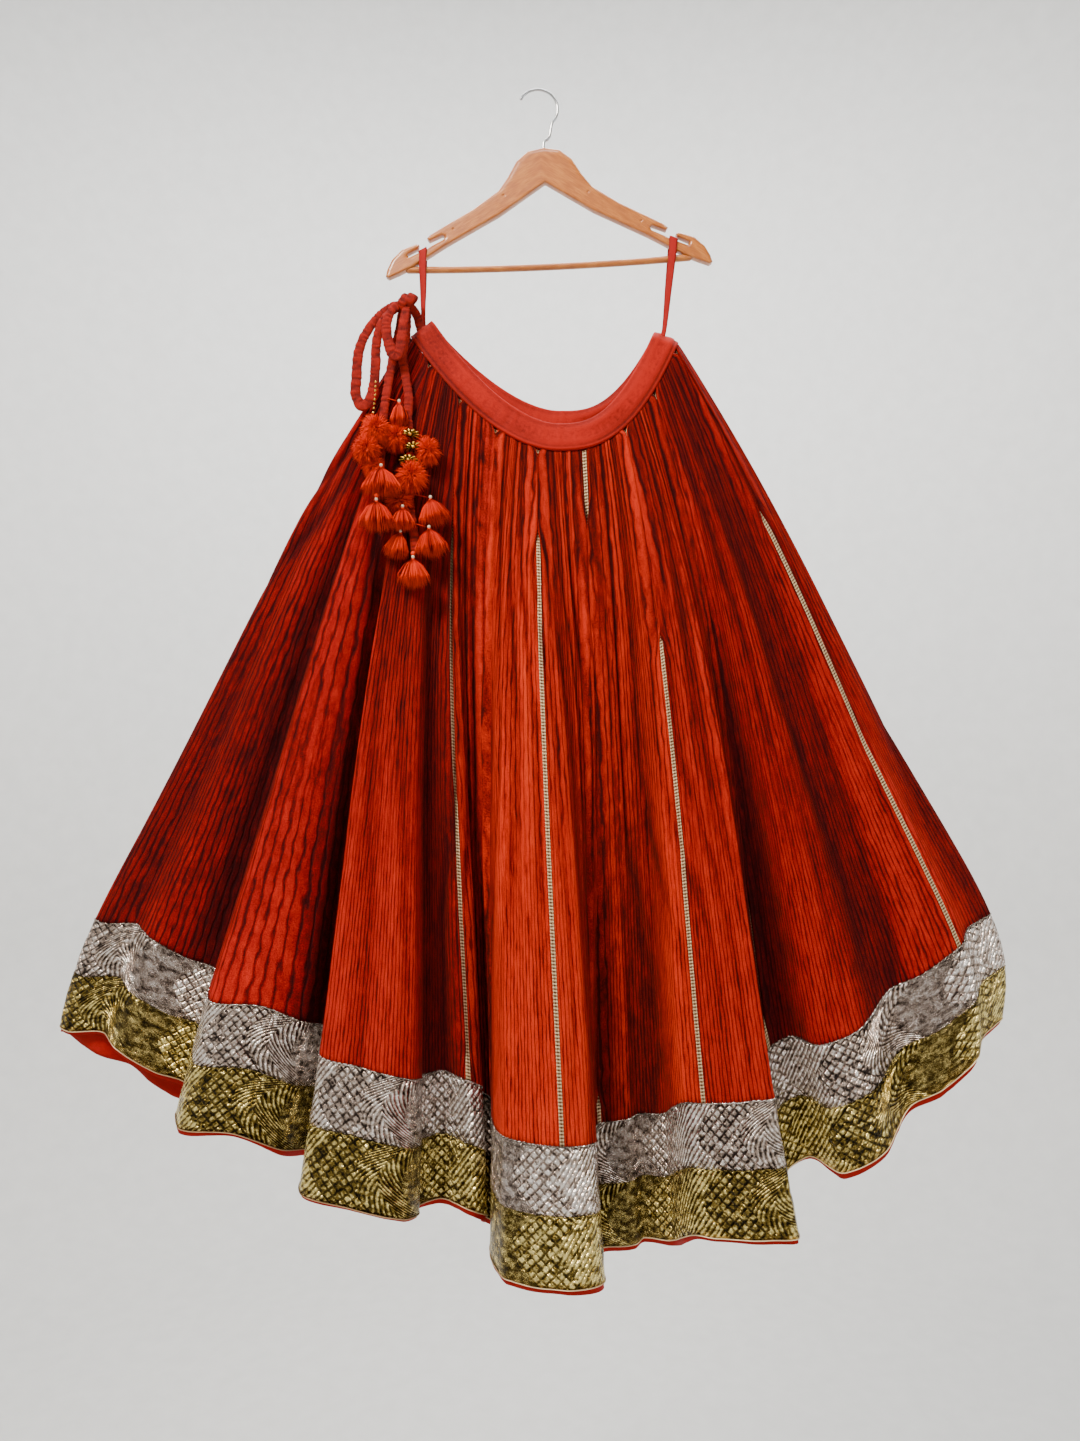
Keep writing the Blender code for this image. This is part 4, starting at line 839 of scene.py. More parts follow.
def make_gore(gore):
    """A gore from the waist seam to the border. It is cut as a trapezium, wide at the border, and gathered at
    the waist."""
    rows, columns = FRONT_GRID if gore < PANELS / 2 - 1 or gore == PANELS - 1 else BACK_GRID
    shares, wide = gore_shares(gore, columns)
    downs = np.linspace(0, SILVER_TOP, rows + 1)
    share, down = np.meshgrid(shares, downs)
    points, _, crest = cloth(share, down)
    uv = np.stack([hem_metres(np.minimum(share, 2)) + np.maximum(share - 2, 0) * 2, down * SKIRT_LENGTH], axis=-1)
    node = f"panel_{gore + 1:02d}"
    # The crest values are painted shade for the colour, and the gore's value from the table is partly its colour and
    # partly painted shade.
    flags = {"crest": crest.ravel(), "dye_and_painted_shade": np.full(crest.size, GORE_DYE_AND_PAINTED_SHADE[gore])}
    piece = add_grid("gore_" + node[-2:], points, uv, CRINKLE, [node], flags=flags)
    add_thickness(piece, 1.0 * MM)
    flat_wide = wide * SILVER_TOP + WAIST_CUT * (1 - SILVER_TOP)
    return flat_wide


gore_widths = [make_gore(gore) for gore in range(PANELS)]
print("gore widths at the border, mm:", [round(w / MM) for w in gore_widths])

# %% [markdown]
# The border is two flat strips of gota over a red facing. They are stiffer than the cotton, so they keep the
# large folds but not the gathers, and they pucker a little between their stitches. A thin cord of thread
# covers each raw edge: along the silver's top, between the strips and along the gold's lower edge.

# %% The border
RING_COLUMNS, STRIP_ROWS, FACING_ROWS = 960, 10, 5
PUCKER = 1.3 * MM
FACING_INSET, FACING_CLOTH = CLOTH + 0.5 * MM, 1.2 * MM
FACING_SHOWS = (2 * MM, 9 * MM)
ring_share = np.interp(
    np.linspace(0, 1, RING_COLUMNS, endpoint=False), 0.5 * HEM_ALONG / HEM_ALONG[-1] + 0.25 * FINE_SHARES,
    FINE_SHARES,
)
RING_LENGTH = HEM_ALONG[-1]


def puckered(share, down, inset):
    """The cloth's points moved in by inset and puckered by noise, with their normals."""
    points, normal, _ = cloth(share, down)
    around = hem_metres(share)
    dent = noise(around / (17 * MM), down * 55, 11) + 0.6 * noise(around / (7 * MM), down * 120, 12) - 0.8
    return points + normal * (dent * PUCKER - inset)[..., None], normal


def make_strip(name, node, top, bottom, rows, inset, material, thickness, extra=None):
    """A closed strip of the border. extra gives each column's added length below its last row, in metres."""
    share, down = np.meshgrid(ring_share, np.linspace(top, bottom, rows + 1))
    points, _ = puckered(share, down, inset)
    if extra is not None:
        fall = unit(points[-1] - points[-2])
        points = np.concatenate([points, (points[-1] + fall * extra[:, None])[None]])
        down = np.concatenate([down, down[-1:] + extra[None] / SKIRT_LENGTH])
    along = np.append(hem_metres(ring_share), RING_LENGTH + hem_metres(ring_share[0]))
    uv = np.stack(np.broadcast_arrays(along[None], (down[:, :1] - top) * SKIRT_LENGTH), axis=-1)
    flags = {"fold": np.full(points[..., 0].size, 0.6)}
    piece = add_grid(name, points, uv, material, [node], wrap=True, flags=flags)
    add_thickness(piece, thickness)
    return piece


peek = FACING_SHOWS[0] + (FACING_SHOWS[1] - FACING_SHOWS[0]) * noise(hem_metres(ring_share) / (70 * MM), 0, 21)
make_strip("border_strip_silver", "border_silver", SILVER_TOP, GOLD_TOP, STRIP_ROWS, 0.0, SILVER_GOTA,
           CLOTH)
make_strip("border_strip_gold", "border_gold", GOLD_TOP, HEM, STRIP_ROWS, 0.0, GOLD_GOTA, CLOTH)
make_strip("border_facing", "hem_facing", GOLD_TOP, HEM, FACING_ROWS, FACING_INSET, FACING_COTTON,
           FACING_CLOTH, extra=peek)
print("border", round(RING_LENGTH, 3), "m round")


# %% Its corded edges
def add_closed_cord(name, centre, normal, radius, material, sides=6):
    """A round cord along a closed line: a circle in the plane of the line's normal and their cross product."""
    along = unit(np.roll(centre, -1, axis=0) - np.roll(centre, 1, axis=0))
    across = unit(np.cross(along, normal))
    angle = np.arange(sides) / sides * math.tau
    ring = np.cos(angle)[:, None, None] * normal + np.sin(angle)[:, None, None] * across
    points = centre + ring * radius
    length = np.concatenate([[0], np.cumsum(np.linalg.norm(np.diff(centre, axis=0), axis=1))])
    length = np.append(length, length[-1] + np.linalg.norm(centre[0] - centre[-1]))
    points = np.concatenate([points, points[:1]])
    uv = np.stack(np.broadcast_arrays(length[None], (np.arange(sides + 1) * radius)[:, None]), axis=-1)
    return merge_doubles(add_grid(name, points, uv, material, wrap=True))


for name, down, material, slot, radius in (
    ("edge_cord_top", SILVER_TOP, SILVER_GOTA, "silver_gota", 1.0 * MM),
    ("edge_cord_middle", GOLD_TOP, GOLD_GOTA, "gold_gota", 0.5 * MM),
    ("edge_cord_hem", HEM, RIBBON_GOTA, "ribbon_gota", 0.7 * MM),
):
    centre, normal = puckered(ring_share, np.full(RING_COLUMNS, down), -0.2 * MM)
    add_closed_cord(name, centre, normal, radius, material)
    print(name, "radius", round(radius / MM, 2), "mm")

# %% [markdown]
# A narrow ladder braid covers each seam between two gores. It lies on the cloth, so its points are the
# cloth's own, moved out. Most braids dive into the gathers near the waist: there the cloth's crests lean
# together over them, and they come out where the folds open.

# %% The seam braids
BRAID_WIDTH, BRAID_THICKNESS, BRAID_LIFT = 5 * MM, 0.9 * MM, 1.0 * MM
BRAID_ROWS = 150


def make_braid(seam):
    share = FIRST_SEAM + seam * PANEL_SHARE
    downs = np.linspace(0.002, SILVER_TOP - 0.001, BRAID_ROWS)
    tiny = 0.001
    spread = np.linalg.norm(smooth_cloth(np.full(BRAID_ROWS, share + tiny), downs)
                            - smooth_cloth(np.full(BRAID_ROWS, share - tiny), downs), axis=-1) / (2 * tiny)
    across = np.linspace(-0.5, 0.5, 5)
    shares = share + across[None] * (BRAID_WIDTH / spread)[:, None]
    down = np.broadcast_to(downs[:, None], shares.shape)
    points, normal, _ = cloth(shares, down)
    side = unit(points[:, -1:] - points[:, :1])
    flat = points[:, 2:3] + side * (across * BRAID_WIDTH)[None, :, None]
    tucked = hidden(seam, down)[..., None]
    points = flat * (1 - tucked) + points * tucked + normal * BRAID_LIFT
    uv = np.stack(np.broadcast_arrays(across[None] + 0.5, down * SKIRT_LENGTH), axis=-1)
    node = f"ribbon_{seam + 1:02d}"
    piece = add_grid("braid_" + node[-2:], points, uv, RIBBON_GOTA, [node])
    return add_thickness(piece, BRAID_THICKNESS)


braids = [make_braid(seam) for seam in range(PANELS)]
print("braids", len(braids))

# %% [markdown]
# The waistband is a casing: a folded strip with the drawstring inside, gathered along it. Its section is a
# flattened round, a superellipse, and it has soft slanting wrinkles and a stitched groove near each edge.
# It is open at the left, where the drawstring comes out.

# %% The waistband
BAND_STATIONS, BAND_SIDES = 420, 28
WRINKLE, GROOVE = 1.3 * MM, 1.0 * MM


def make_band():
    half = np.linspace(CASING_SLOT, 1.0, BAND_STATIONS // 2)
    shares = np.concatenate([half, 2 - half[-2::-1]])
    foot, up = waist(shares)
    ahead, behind = waist(shares + 0.006)[0], waist(shares - 0.006)[0]
    normal = unit(np.cross(unit(ahead - behind), up))
    angle = math.tau * (np.arange(BAND_SIDES) + 0.5) / BAND_SIDES
    sine, cosine = np.sin(angle), np.cos(angle)
    rise = BAND_HEIGHT / 2 * (1 + np.sign(sine) * np.abs(sine) ** 0.55)
    thick = BAND_THICKNESS / 2 * np.sign(cosine) * np.abs(cosine) ** 0.6
    w = (shares * SEAM_LENGTH)[:, None]
    slant = w / (26 * MM) + rise[None] / (30 * MM)
    wrinkles = noise(slant / 2.8, rise[None] / (8 * MM), 31) - 0.5
    puckers = noise(w / (6 * MM), rise[None] / (22 * MM), 32) - 0.5
    dents = wrinkles * 3.0 + puckers * 0.5
    grooves = sum(np.exp(-(((rise - at) / (1.1 * MM)) ** 2)) for at in (5 * MM, BAND_HEIGHT - 4 * MM))
    worn = dents * WRINKLE - grooves[None] * GROOVE
    swell = thick[None] + np.sign(cosine)[None] * worn * np.abs(cosine)[None] ** 0.5
    foot = foot + up * SEAM_GAP
    points = foot[:, None] + up[:, None] * rise[None, :, None] + normal[:, None] * swell[..., None]
    caps = [(foot + up * BAND_HEIGHT / 2)[[k]][:, None].repeat(BAND_SIDES, 1) for k in (0, -1)]
    points = np.concatenate([caps[0], points, caps[1]])
    at = np.concatenate([[w[0, 0]], w[:, 0], [w[-1, 0]]])
    around = np.append(np.cumsum(np.hypot(np.diff(rise, append=rise[0]), np.diff(thick, append=thick[0]))), 0.0)
    around[-1] = around[-2] + 1 * MM
    uv = np.stack(np.broadcast_arrays(at[:, None], around[None]), axis=-1)
    # Painted shade: the cloth is lighter on the wrinkles' ridges and darker in their hollows and in the stitched
    # grooves.
    painted_wrinkle_shade = 0.66 + 0.8 * (dents * 0.4 - grooves[None] * 0.8)
    painted_wrinkle_shade = np.clip(np.concatenate([painted_wrinkle_shade[:1], painted_wrinkle_shade, painted_wrinkle_shade[-1:]]), 0, 1)
    piece = close_up(add_grid("casing", points, uv, BAND_COTTON, ["waistband"], wrap=True,
                              flags={"fold": painted_wrinkle_shade.ravel()}))
    return piece


band = make_band()
print("waistband", triangles_of(band), "triangles")

# %% [markdown]
# A tassel is a bundle of cut yarn. The tufts are bound in the middle and brushed round, and the fans are bound
# near one end under a bead. Each thread is its own thin spindle with only twelve triangles, because hundreds
# of them make one tuft, and a value per thread gives each its own shade of orange.

# %% Threads
THREAD_RADIUS = 0.5 * MM


def add_threads(name, roots, tips, bow, radius, shade, material, replaced=()):
    """Spindles from roots to tips. A line w from 0 to 1 goes from root to tip and swings out by 4w(1 - w) times
    bow. A spindle is its root, two rings of three points at a third and two thirds, and its tip."""
    w = np.array([0, 0.33, 0.72, 1])[None, :, None]
    line = roots[:, None] * (1 - w) + tips[:, None] * w + bow[:, None] * (4 * w * (1 - w))
    along = unit(line[:, 2] - line[:, 1])
    across = unit(np.cross(along, np.array([0.31, -0.9, 0.27])))
    front = np.cross(along, across)
    angle = (np.arange(3) / 3 * math.tau)[None, :, None]
    ring = (np.cos(angle) * across[:, None] + np.sin(angle) * front[:, None]) * radius
    points = np.concatenate([line[:, :1], line[:, 1:2] + ring, line[:, 2:3] + ring * 0.85, line[:, 3:]], axis=1)
    one = [(0, k + 1, j + 1) for j, k in ((0, 1), (1, 2), (2, 0))]
    one += [(j + 1, k + 1, k + 4) for j, k in ((0, 1), (1, 2), (2, 0))]
    one += [(j + 1, k + 4, j + 4) for j, k in ((0, 1), (1, 2), (2, 0))]
    one += [(7, j + 4, k + 4) for j, k in ((0, 1), (1, 2), (2, 0))]
    faces = (np.array(one)[None] + 8 * np.arange(len(roots))[:, None, None]).reshape(-1, 3)
    # Painted shade: each thread is darker towards its root, deep in the bundle, and brightest at its tip.
    depth = np.array([0.0] + [0.55] * 3 + [0.85] * 3 + [1.0])
    value = shade[:, None] * (0.35 + 0.65 * depth[None])
    return add_piece(name, points.reshape(-1, 3), faces, material, replaced, flags={"shade": value.ravel()})


def even_directions(count):
    """Directions spread evenly over a sphere: heights at even steps, each turned by the golden angle."""
    k = np.arange(count)
    height, turn = 1 - (2 * k + 1) / count, k * math.pi * (3 - math.sqrt(5))
    flat = np.sqrt(1 - height**2)
    return np.stack([flat * np.cos(turn), flat * np.sin(turn), height], axis=-1)


def leaned(points, degrees):
    """Points turned about the Y axis."""
    c, s = math.cos(math.radians(degrees)), math.sin(math.radians(degrees))
    return np.stack([points[:, 0] * c + points[:, 2] * s, points[:, 1], points[:, 2] * c - points[:, 0] * s], axis=-1)


def centre_of(node):
    low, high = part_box(node)
    return (np.array(low) + np.array(high)) / 2, np.array(high) - np.array(low)


def make_thread_material():
    """Mercerised cotton yarn in tones of orange from the attribute shade, which holds each thread's own tone and
    painted shade: dark deep in the bundle and bright at the cut tips.
    """
    material, tree, shader = new_material("cotton_yarn", roughness=0.8, specular=0.15)
    shade = add_node(tree, "Attribute", attribute_name="shade").outputs["Fac"]
    fleck = pattern(tree, "TexNoise", (900, 900, 900), source="Object", detail=1.0)
    colour = add_node(
        tree, "ValToRGB", {"Fac": sum_of(tree, (shade, 0.85), (fleck, 0.15))},
        stops=((0.10, "#4a0301"), (0.36, "#cc1f01"), (0.8, "#ff3c00")),
    ).outputs[0]
    tree.links.new(colour, shader.inputs["Base Color"])
    add_node(
        tree, "Bump", {"Height": fleck, "Distance": 0.2 * MM},
        feeds=shader.inputs["Normal"],
    )
    return material


YARN = make_thread_material()

# %% Tufts and fans
# Rows: kind, width and height in millimetres, lean in degrees, and the drawstring end that carries it.
TASSELS = (
    ("tuft", 28, 26, 0, "right"), ("fan", 28, 26, 0, "right"), ("tuft", 22, 24, 0, "left"),
    ("tuft", 30, 34, 0, "right"), ("tuft", 28, 30, 0, "left"), ("tuft", 30, 32, 10, "left"),
    ("tuft", 28, 30, 0, "left"), ("fan", 20, 28, 0, "left"), ("tuft", 26, 30, -10, "right"),
    ("fan", 46, 34, 0, "left"), ("fan", 42, 34, 0, "left"), ("fan", 38, 32, -14, "right"),
    ("fan", 28, 30, 14, "right"), ("fan", 38, 33, -8, "right"), ("fan", 38, 32, 0, "right"),
)
TUFT_THREADS, FAN_THREADS, LOCKS = 760, 420, 22
TUFT_SWELL, FAN_SWELL = 1.62, 1.2
draw = np.random.default_rng(12)


def make_tuft(number, width, height, lean):
    """Threads from the middle out to an ellipsoid, pulled a little down and forwards, in uneven clumps."""
    centre, _ = centre_of(f"tassel_{number:02d}")
    size = np.array([width, width * 0.74, height]) / 2 * TUFT_SWELL * MM
    toward = even_directions(TUFT_THREADS) + draw.normal(0, 0.10, (TUFT_THREADS, 3))
    clump = noise(toward[:, 0] * 4.2 + 9, toward[:, 2] * 4.2 + 9, number)
    toward = unit(toward + np.array([0, -0.28, -0.22]))
    reach = 0.74 + 0.2 * clump + draw.uniform(-0.12, 0.1, TUFT_THREADS)
    tips = toward * size * reach[:, None] + np.array([0, 0, -1 * MM])
    bow = np.array([0, 0, 1]) * size[2] * 0.10 + draw.normal(0, 0.35 * MM, (TUFT_THREADS, 3))
    shade = np.clip(0.25 + 0.95 * clump + draw.uniform(-0.25, 0.25, TUFT_THREADS), 0.05, 1)
    roots = toward * size * 0.12
    piece = add_threads(f"tuft_{number:02d}", leaned(roots, lean) + centre, leaned(tips, lean) + centre, bow,
                        THREAD_RADIUS, shade, YARN, [f"tassel_{number:02d}"])
    return piece, centre + [0, 0, size[2] * 0.5]


def make_fan(number, width, height, lean):
    """Threads from the bound head to a disc that is dished: (a, b) in the disc gives the tip (a W/2, b D/2,
    -H sqrt(1 - 0.4(a^2 + b^2))). They swing out as they fall, so the fan is domed."""
    centre, _ = centre_of(f"tassel_{number:02d}")
    turn = draw.uniform(0, math.tau, FAN_THREADS)
    out = np.sqrt(draw.uniform(0, 1, FAN_THREADS))
    a, b = out * np.cos(turn), out * np.sin(turn)
    lock = np.floor(turn / math.tau * LOCKS)
    clump = noise(lock * 3.7, out * 1.6, number + 30)
    wide, deep, tall = width / 2 * FAN_SWELL * MM, width * 0.33 * FAN_SWELL * MM, height * FAN_SWELL * MM
    ragged = 1 + draw.uniform(-0.14, 0.03, FAN_THREADS) + 0.14 * (clump - 0.5)
    tips = np.stack([a * wide, b * deep, -tall * np.sqrt(1 - 0.4 * out**2)], axis=-1) * ragged[:, None]
    bow = np.stack([a * wide * 0.16, b * deep * 0.16, np.full(FAN_THREADS, 0.05 * tall)], axis=-1)
    bow += draw.normal(0, 0.3 * MM, (FAN_THREADS, 3))
    roots = np.stack([a, b, 0 * a], axis=-1) * 1.5 * MM
    head = centre + leaned(np.array([[0, 0, height / 2 * MM]]), lean)[0]
    shade = np.clip(0.1 + 1.0 * clump + draw.uniform(-0.3, 0.3, FAN_THREADS), 0.05, 1)
    piece = add_threads(f"fan_{number:02d}", leaned(roots, lean) + head, leaned(tips, lean) + head,
                        leaned(bow, lean), THREAD_RADIUS, shade, YARN, [f"tassel_{number:02d}"])
    return piece, head


hung = {"left": [], "right": []}
heads = []
for number, (kind, width, height, lean, side) in enumerate(TASSELS, 1):
    piece, head = (make_tuft if kind == "tuft" else make_fan)(number, width, height, lean)
    hung[side].append(piece)
    heads.append((kind, head, side))
print("tassels", len(heads), "with", triangles_of(hung["left"][0]), "triangles in a tuft")

# %% [markdown]
# Each fan has a bound neck and a pale bead above it, and a short twisted string ties it to its cord. A strand
# of small gilt beads hangs from the left loop. All the beads of one kind are one mesh: a lathed profile is
# placed at every spot by adding arrays.


# %% Beads, necks and strings
def add_turned(name, spots, profile, material, sides=12, ridges=0.0):
    """Copies of a turned shape, upright at each spot. profile holds (radius, height) from the top pole to the
    bottom one. ridges is how far a spiral winding stands out: |sin(2 * turn + 3 * row)|."""
    radius, height = np.array(profile).T
    turn = np.arange(sides) / sides * math.tau
    wound = 1 + ridges * np.abs(np.sin(2 * turn[None] + 3.0 * np.arange(len(radius))[:, None]))
    x, y = radius[:, None] * wound * np.cos(turn), radius[:, None] * wound * np.sin(turn)
    one = np.stack([x, y, np.broadcast_to(height[:, None], x.shape)], axis=-1).reshape(-1, 3)
    spots = np.atleast_2d(spots)
    points = (spots[:, None] + one[None]).reshape(-1, 3)
    first = len(one) * np.arange(len(spots))[:, None, None]
    faces = (grid_faces(len(radius), sides, True)[None] + first).reshape(-1, 4)
    flags = {"shade": np.full(len(points), 0.7)}
    return close_up(add_piece(name, points, faces, material, flags=flags))


def ball(radius, rows=8):
    """The profile of a ball, from pole to pole."""
    angle = np.linspace(0, math.pi, rows)
    return np.stack([radius * np.sin(angle), radius * np.cos(angle)], axis=-1)


def make_metal(name, colour, roughness, pit=0.0, painted_shade_colour=None):
    """Polished metal, with faint dents and duller spots. Where the attribute shade is low, in the folds of a
    stamping, painted shade darkens it towards the given dark colour."""
    material, tree, shader = new_material(name, metallic=1.0)
    dull = pattern(tree, "TexNoise", (160, 160, 160), source="Object", detail=3.0)
    shader.inputs["Base Color"].default_value = linear(colour)
    if painted_shade_colour:
        shade = add_node(tree, "Attribute", attribute_name="shade").outputs["Fac"]
        add_node(
        tree, "ValToRGB", {"Fac": shade},
        stops=((0.1, painted_shade_colour), (0.7, colour)),
        feeds=shader.inputs["Base Color"],
    )
    spread = add_node(tree, "MapRange", {"Value": dull, "To Min": roughness * 0.7, "To Max": roughness * 1.5})
    tree.links.new(spread.outputs[0], shader.inputs["Roughness"])
    add_node(
        tree, "Bump", {"Height": dull, "Distance": pit},
        feeds=shader.inputs["Normal"],
    )
    return material


def make_pearl():
    """Moulded pearl bead: cream plastic with a clear coat, in a cloudy tone from noise."""
    material, tree, shader = new_material("moulded_pearl_bead", roughness=0.3, coat=0.5, coat_roughness=0.1)
    cloud = pattern(tree, "TexNoise", (420, 420, 420), source="Object", detail=2.0)
    add_node(
        tree, "ValToRGB", {"Fac": cloud},
        stops=((0.3, "#d9bf93"), (0.7, "#fbf0d8")),
        feeds=shader.inputs["Base Color"],
    )
    return material


GILT = make_metal("gilt_brass", "#eebb4e", 0.25, 0.3 * MM, painted_shade_colour="#1c0c02")
PEARL = make_pearl()
BEAD_RADIUS, GILT_BEAD, BALL_RADIUS = 2.1 * MM, 1.5 * MM, 2.7 * MM
PEARL_RISE, BALL_RISE = 2.4 * MM, 6.6 * MM
NECK = ((0, 0.6), (1.6, 0.4), (2.1, -0.3), (1.9, -1.1), (2.1, -1.9), (1.8, -2.7), (2.4, -3.6), (0, -4.2))
neck_spots = {side: np.array([head for kind, head, at in heads if kind == "fan" and at == side]) for side in hung}
for side, spots in neck_spots.items():
    hung[side].append(add_turned("necks_" + side, spots, np.array(NECK) * MM, YARN, ridges=0.1))
    pearls, balls = spots + [0, 0, PEARL_RISE], spots[-1:] + [0, 0, BALL_RISE]
    hung[side].append(add_turned("pearls_" + side, pearls, ball(BEAD_RADIUS), PEARL))
    hung[side].append(add_turned("wrapped_balls_" + side, balls, ball(BALL_RADIUS, 10), YARN,
                                 sides=16, ridges=0.12))
strand = smooth_path(place([(-204, 376, 49), (-205, 398, 50), (-207, 420, 51)]), 3.2 * GILT_BEAD)
hung["left"].append(add_turned("gilt_beads", strand, ball(GILT_BEAD, 7), GILT, sides=10))


def make_strings(side):
    """A string from each head up to the nearest point of its cord that lies higher."""
    line = cords[side][1]
    tops = np.array([head for _, head, at in heads if at == side]) + [0, 0, 1 * MM]
    gap = np.linalg.norm(line[None] - tops[:, None], axis=-1) + 1.0 * (line[None, :, 2] < tops[:, None, 2] + 7 * MM)
    ends = line[np.argmin(gap, axis=1)]
    bow = np.stack([0 * ends[:, 0], np.full(len(ends), -1.5 * MM), 0 * ends[:, 0]], axis=-1)
    shade = np.full(len(ends), 0.6)
    return add_threads("strings_" + side, tops, ends, bow, 0.8 * MM, shade, YARN)


for side in hung:
    hung[side].append(make_strings(side))
print("pieces on the cords:", {side: len(pieces) for side, pieces in hung.items()})

# %% [markdown]
# Three gilt flowers hang in a row, each a stamped cup with curled petals. The rim's radius rises and falls
# eleven times round, and the cup is dished: its height grows with the square of the radius.


# %% Gilt flowers
# Where each flower's middle lies: millimetres right of the hook and below it.
FLOWER_SPOTS = ((-161, 442), (-157, 458), (-163, 474))
FLOWER_GRID, FLOWER_PETALS, FLOWER_REACH = (9, 88), 11, 12.5 * MM


def make_flowers():
    """Three stamped cups. Each petal is |cos(petals / 2 * turn)| ^ 0.6, which draws the rim in between petals
    and lifts the fold there."""
    rings, sides = FLOWER_GRID
    out, turn = np.meshgrid(np.linspace(0, 1, rings), np.arange(sides) / sides * math.tau, indexing="ij")
    low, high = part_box("gilt_flowers")
    points, shades = [], []
    for number, (right, drop) in enumerate(FLOWER_SPOTS):
        petal = np.abs(np.cos(FLOWER_PETALS / 2 * turn + number)) ** 0.6
        reach = FLOWER_REACH * out * (1 - 0.22 * out * (1 - petal))
        dish = (4 * out**2 + 2.6 * out * (1 - petal)) * MM
        up = reach * np.sin(turn)
        spot = np.stack([right * MM + reach * np.cos(turn), low[1] + (4 - number) * MM + dish - 0.35 * up,
                         -drop * MM + up * 0.55], axis=-1)
        points.append(spot.reshape(-1, 3))
        # Painted shade: each cup is dark between its petals and towards its middle, and bright on the petals' outer
        # parts.
        shades.append((petal**2 * (0.15 + 0.85 * out**2)).ravel())
    one = grid_faces(rings, sides, True)
    faces = np.concatenate([one + rings * sides * k for k in range(len(points))])
    piece = add_piece("stamped_flowers", np.concatenate(points), faces, GILT, ["gilt_flowers"],
                      flags={"shade": np.concatenate(shades)})
    merge_doubles(piece)
    add_thickness(piece, 0.5 * MM)
    studs = [(right * MM, low[1] + (3.5 - k) * MM, -drop * MM) for k, (right, drop) in enumerate(FLOWER_SPOTS)]
    studs = add_turned("flower_studs", studs, ball(2.4 * MM), GILT)
    return [piece, studs]


hung["right"] += make_flowers()
print("flowers", len(FLOWER_SPOTS), "of", FLOWER_PETALS, "petals")

# %% [markdown]
# The hanging loops are satin ribbon, 11 mm wide, sewn to the ends of the band. Each goes up over the notch of
# the hanger and down again behind it. A ribbon is a short row of stations, each with a centre and a direction
# across, and a smooth curve through the stations gives the rest.

# %% The hanging loops
HANGER_TILT = math.radians(2.6)
HANGER_THICKNESS = 12 * MM
LOOP_WIDTH, LOOP_THICKNESS, LOOP_NARROW, LOOP_GAP, LOOP_SPREAD = 11 * MM, 1.2 * MM, 0.5, 0.5 * MM, 1.4 * MM
LOOP_HEIGHT, ARM_COVER = 0.7, 16 * MM
NOTCH_FLOOR, NOTCH_SLOPE = (158, 195.6), (32, 15.5)


def tilted(right, drop):
    """Points of the hanger's own plane, in millimetres, turned about the hook by the tilt that it hangs at."""
    c, s = math.cos(HANGER_TILT), math.sin(HANGER_TILT)
    x, z = np.asarray(right) * MM, -np.asarray(drop) * MM
    return np.stack([x * c - z * s, 0 * x, x * s + z * c], axis=-1)


def loop_foot(side, face):
    """(place, direction out of the band, direction across the band) where an end of a loop is sewn on."""
    share = 1.0 if side > 0 else (CASING_SLOT if face > 0 else 2 - CASING_SLOT)
    point, up = (value[0] for value in waist(np.array([share])))
    if side > 0:
        away = np.array([up[2], 0, -up[0]])
        shift = away * (BAND_THICKNESS / 2 + LOOP_GAP) - np.array([0, face * LOOP_SPREAD, 0])
    else:
        away = -face * unit(waist(np.array([share + 0.006]))[0][0] - waist(np.array([share - 0.006]))[0][0])
        shift = away * LOOP_GAP
    return point + up * BAND_HEIGHT * LOOP_HEIGHT + shift, away, up


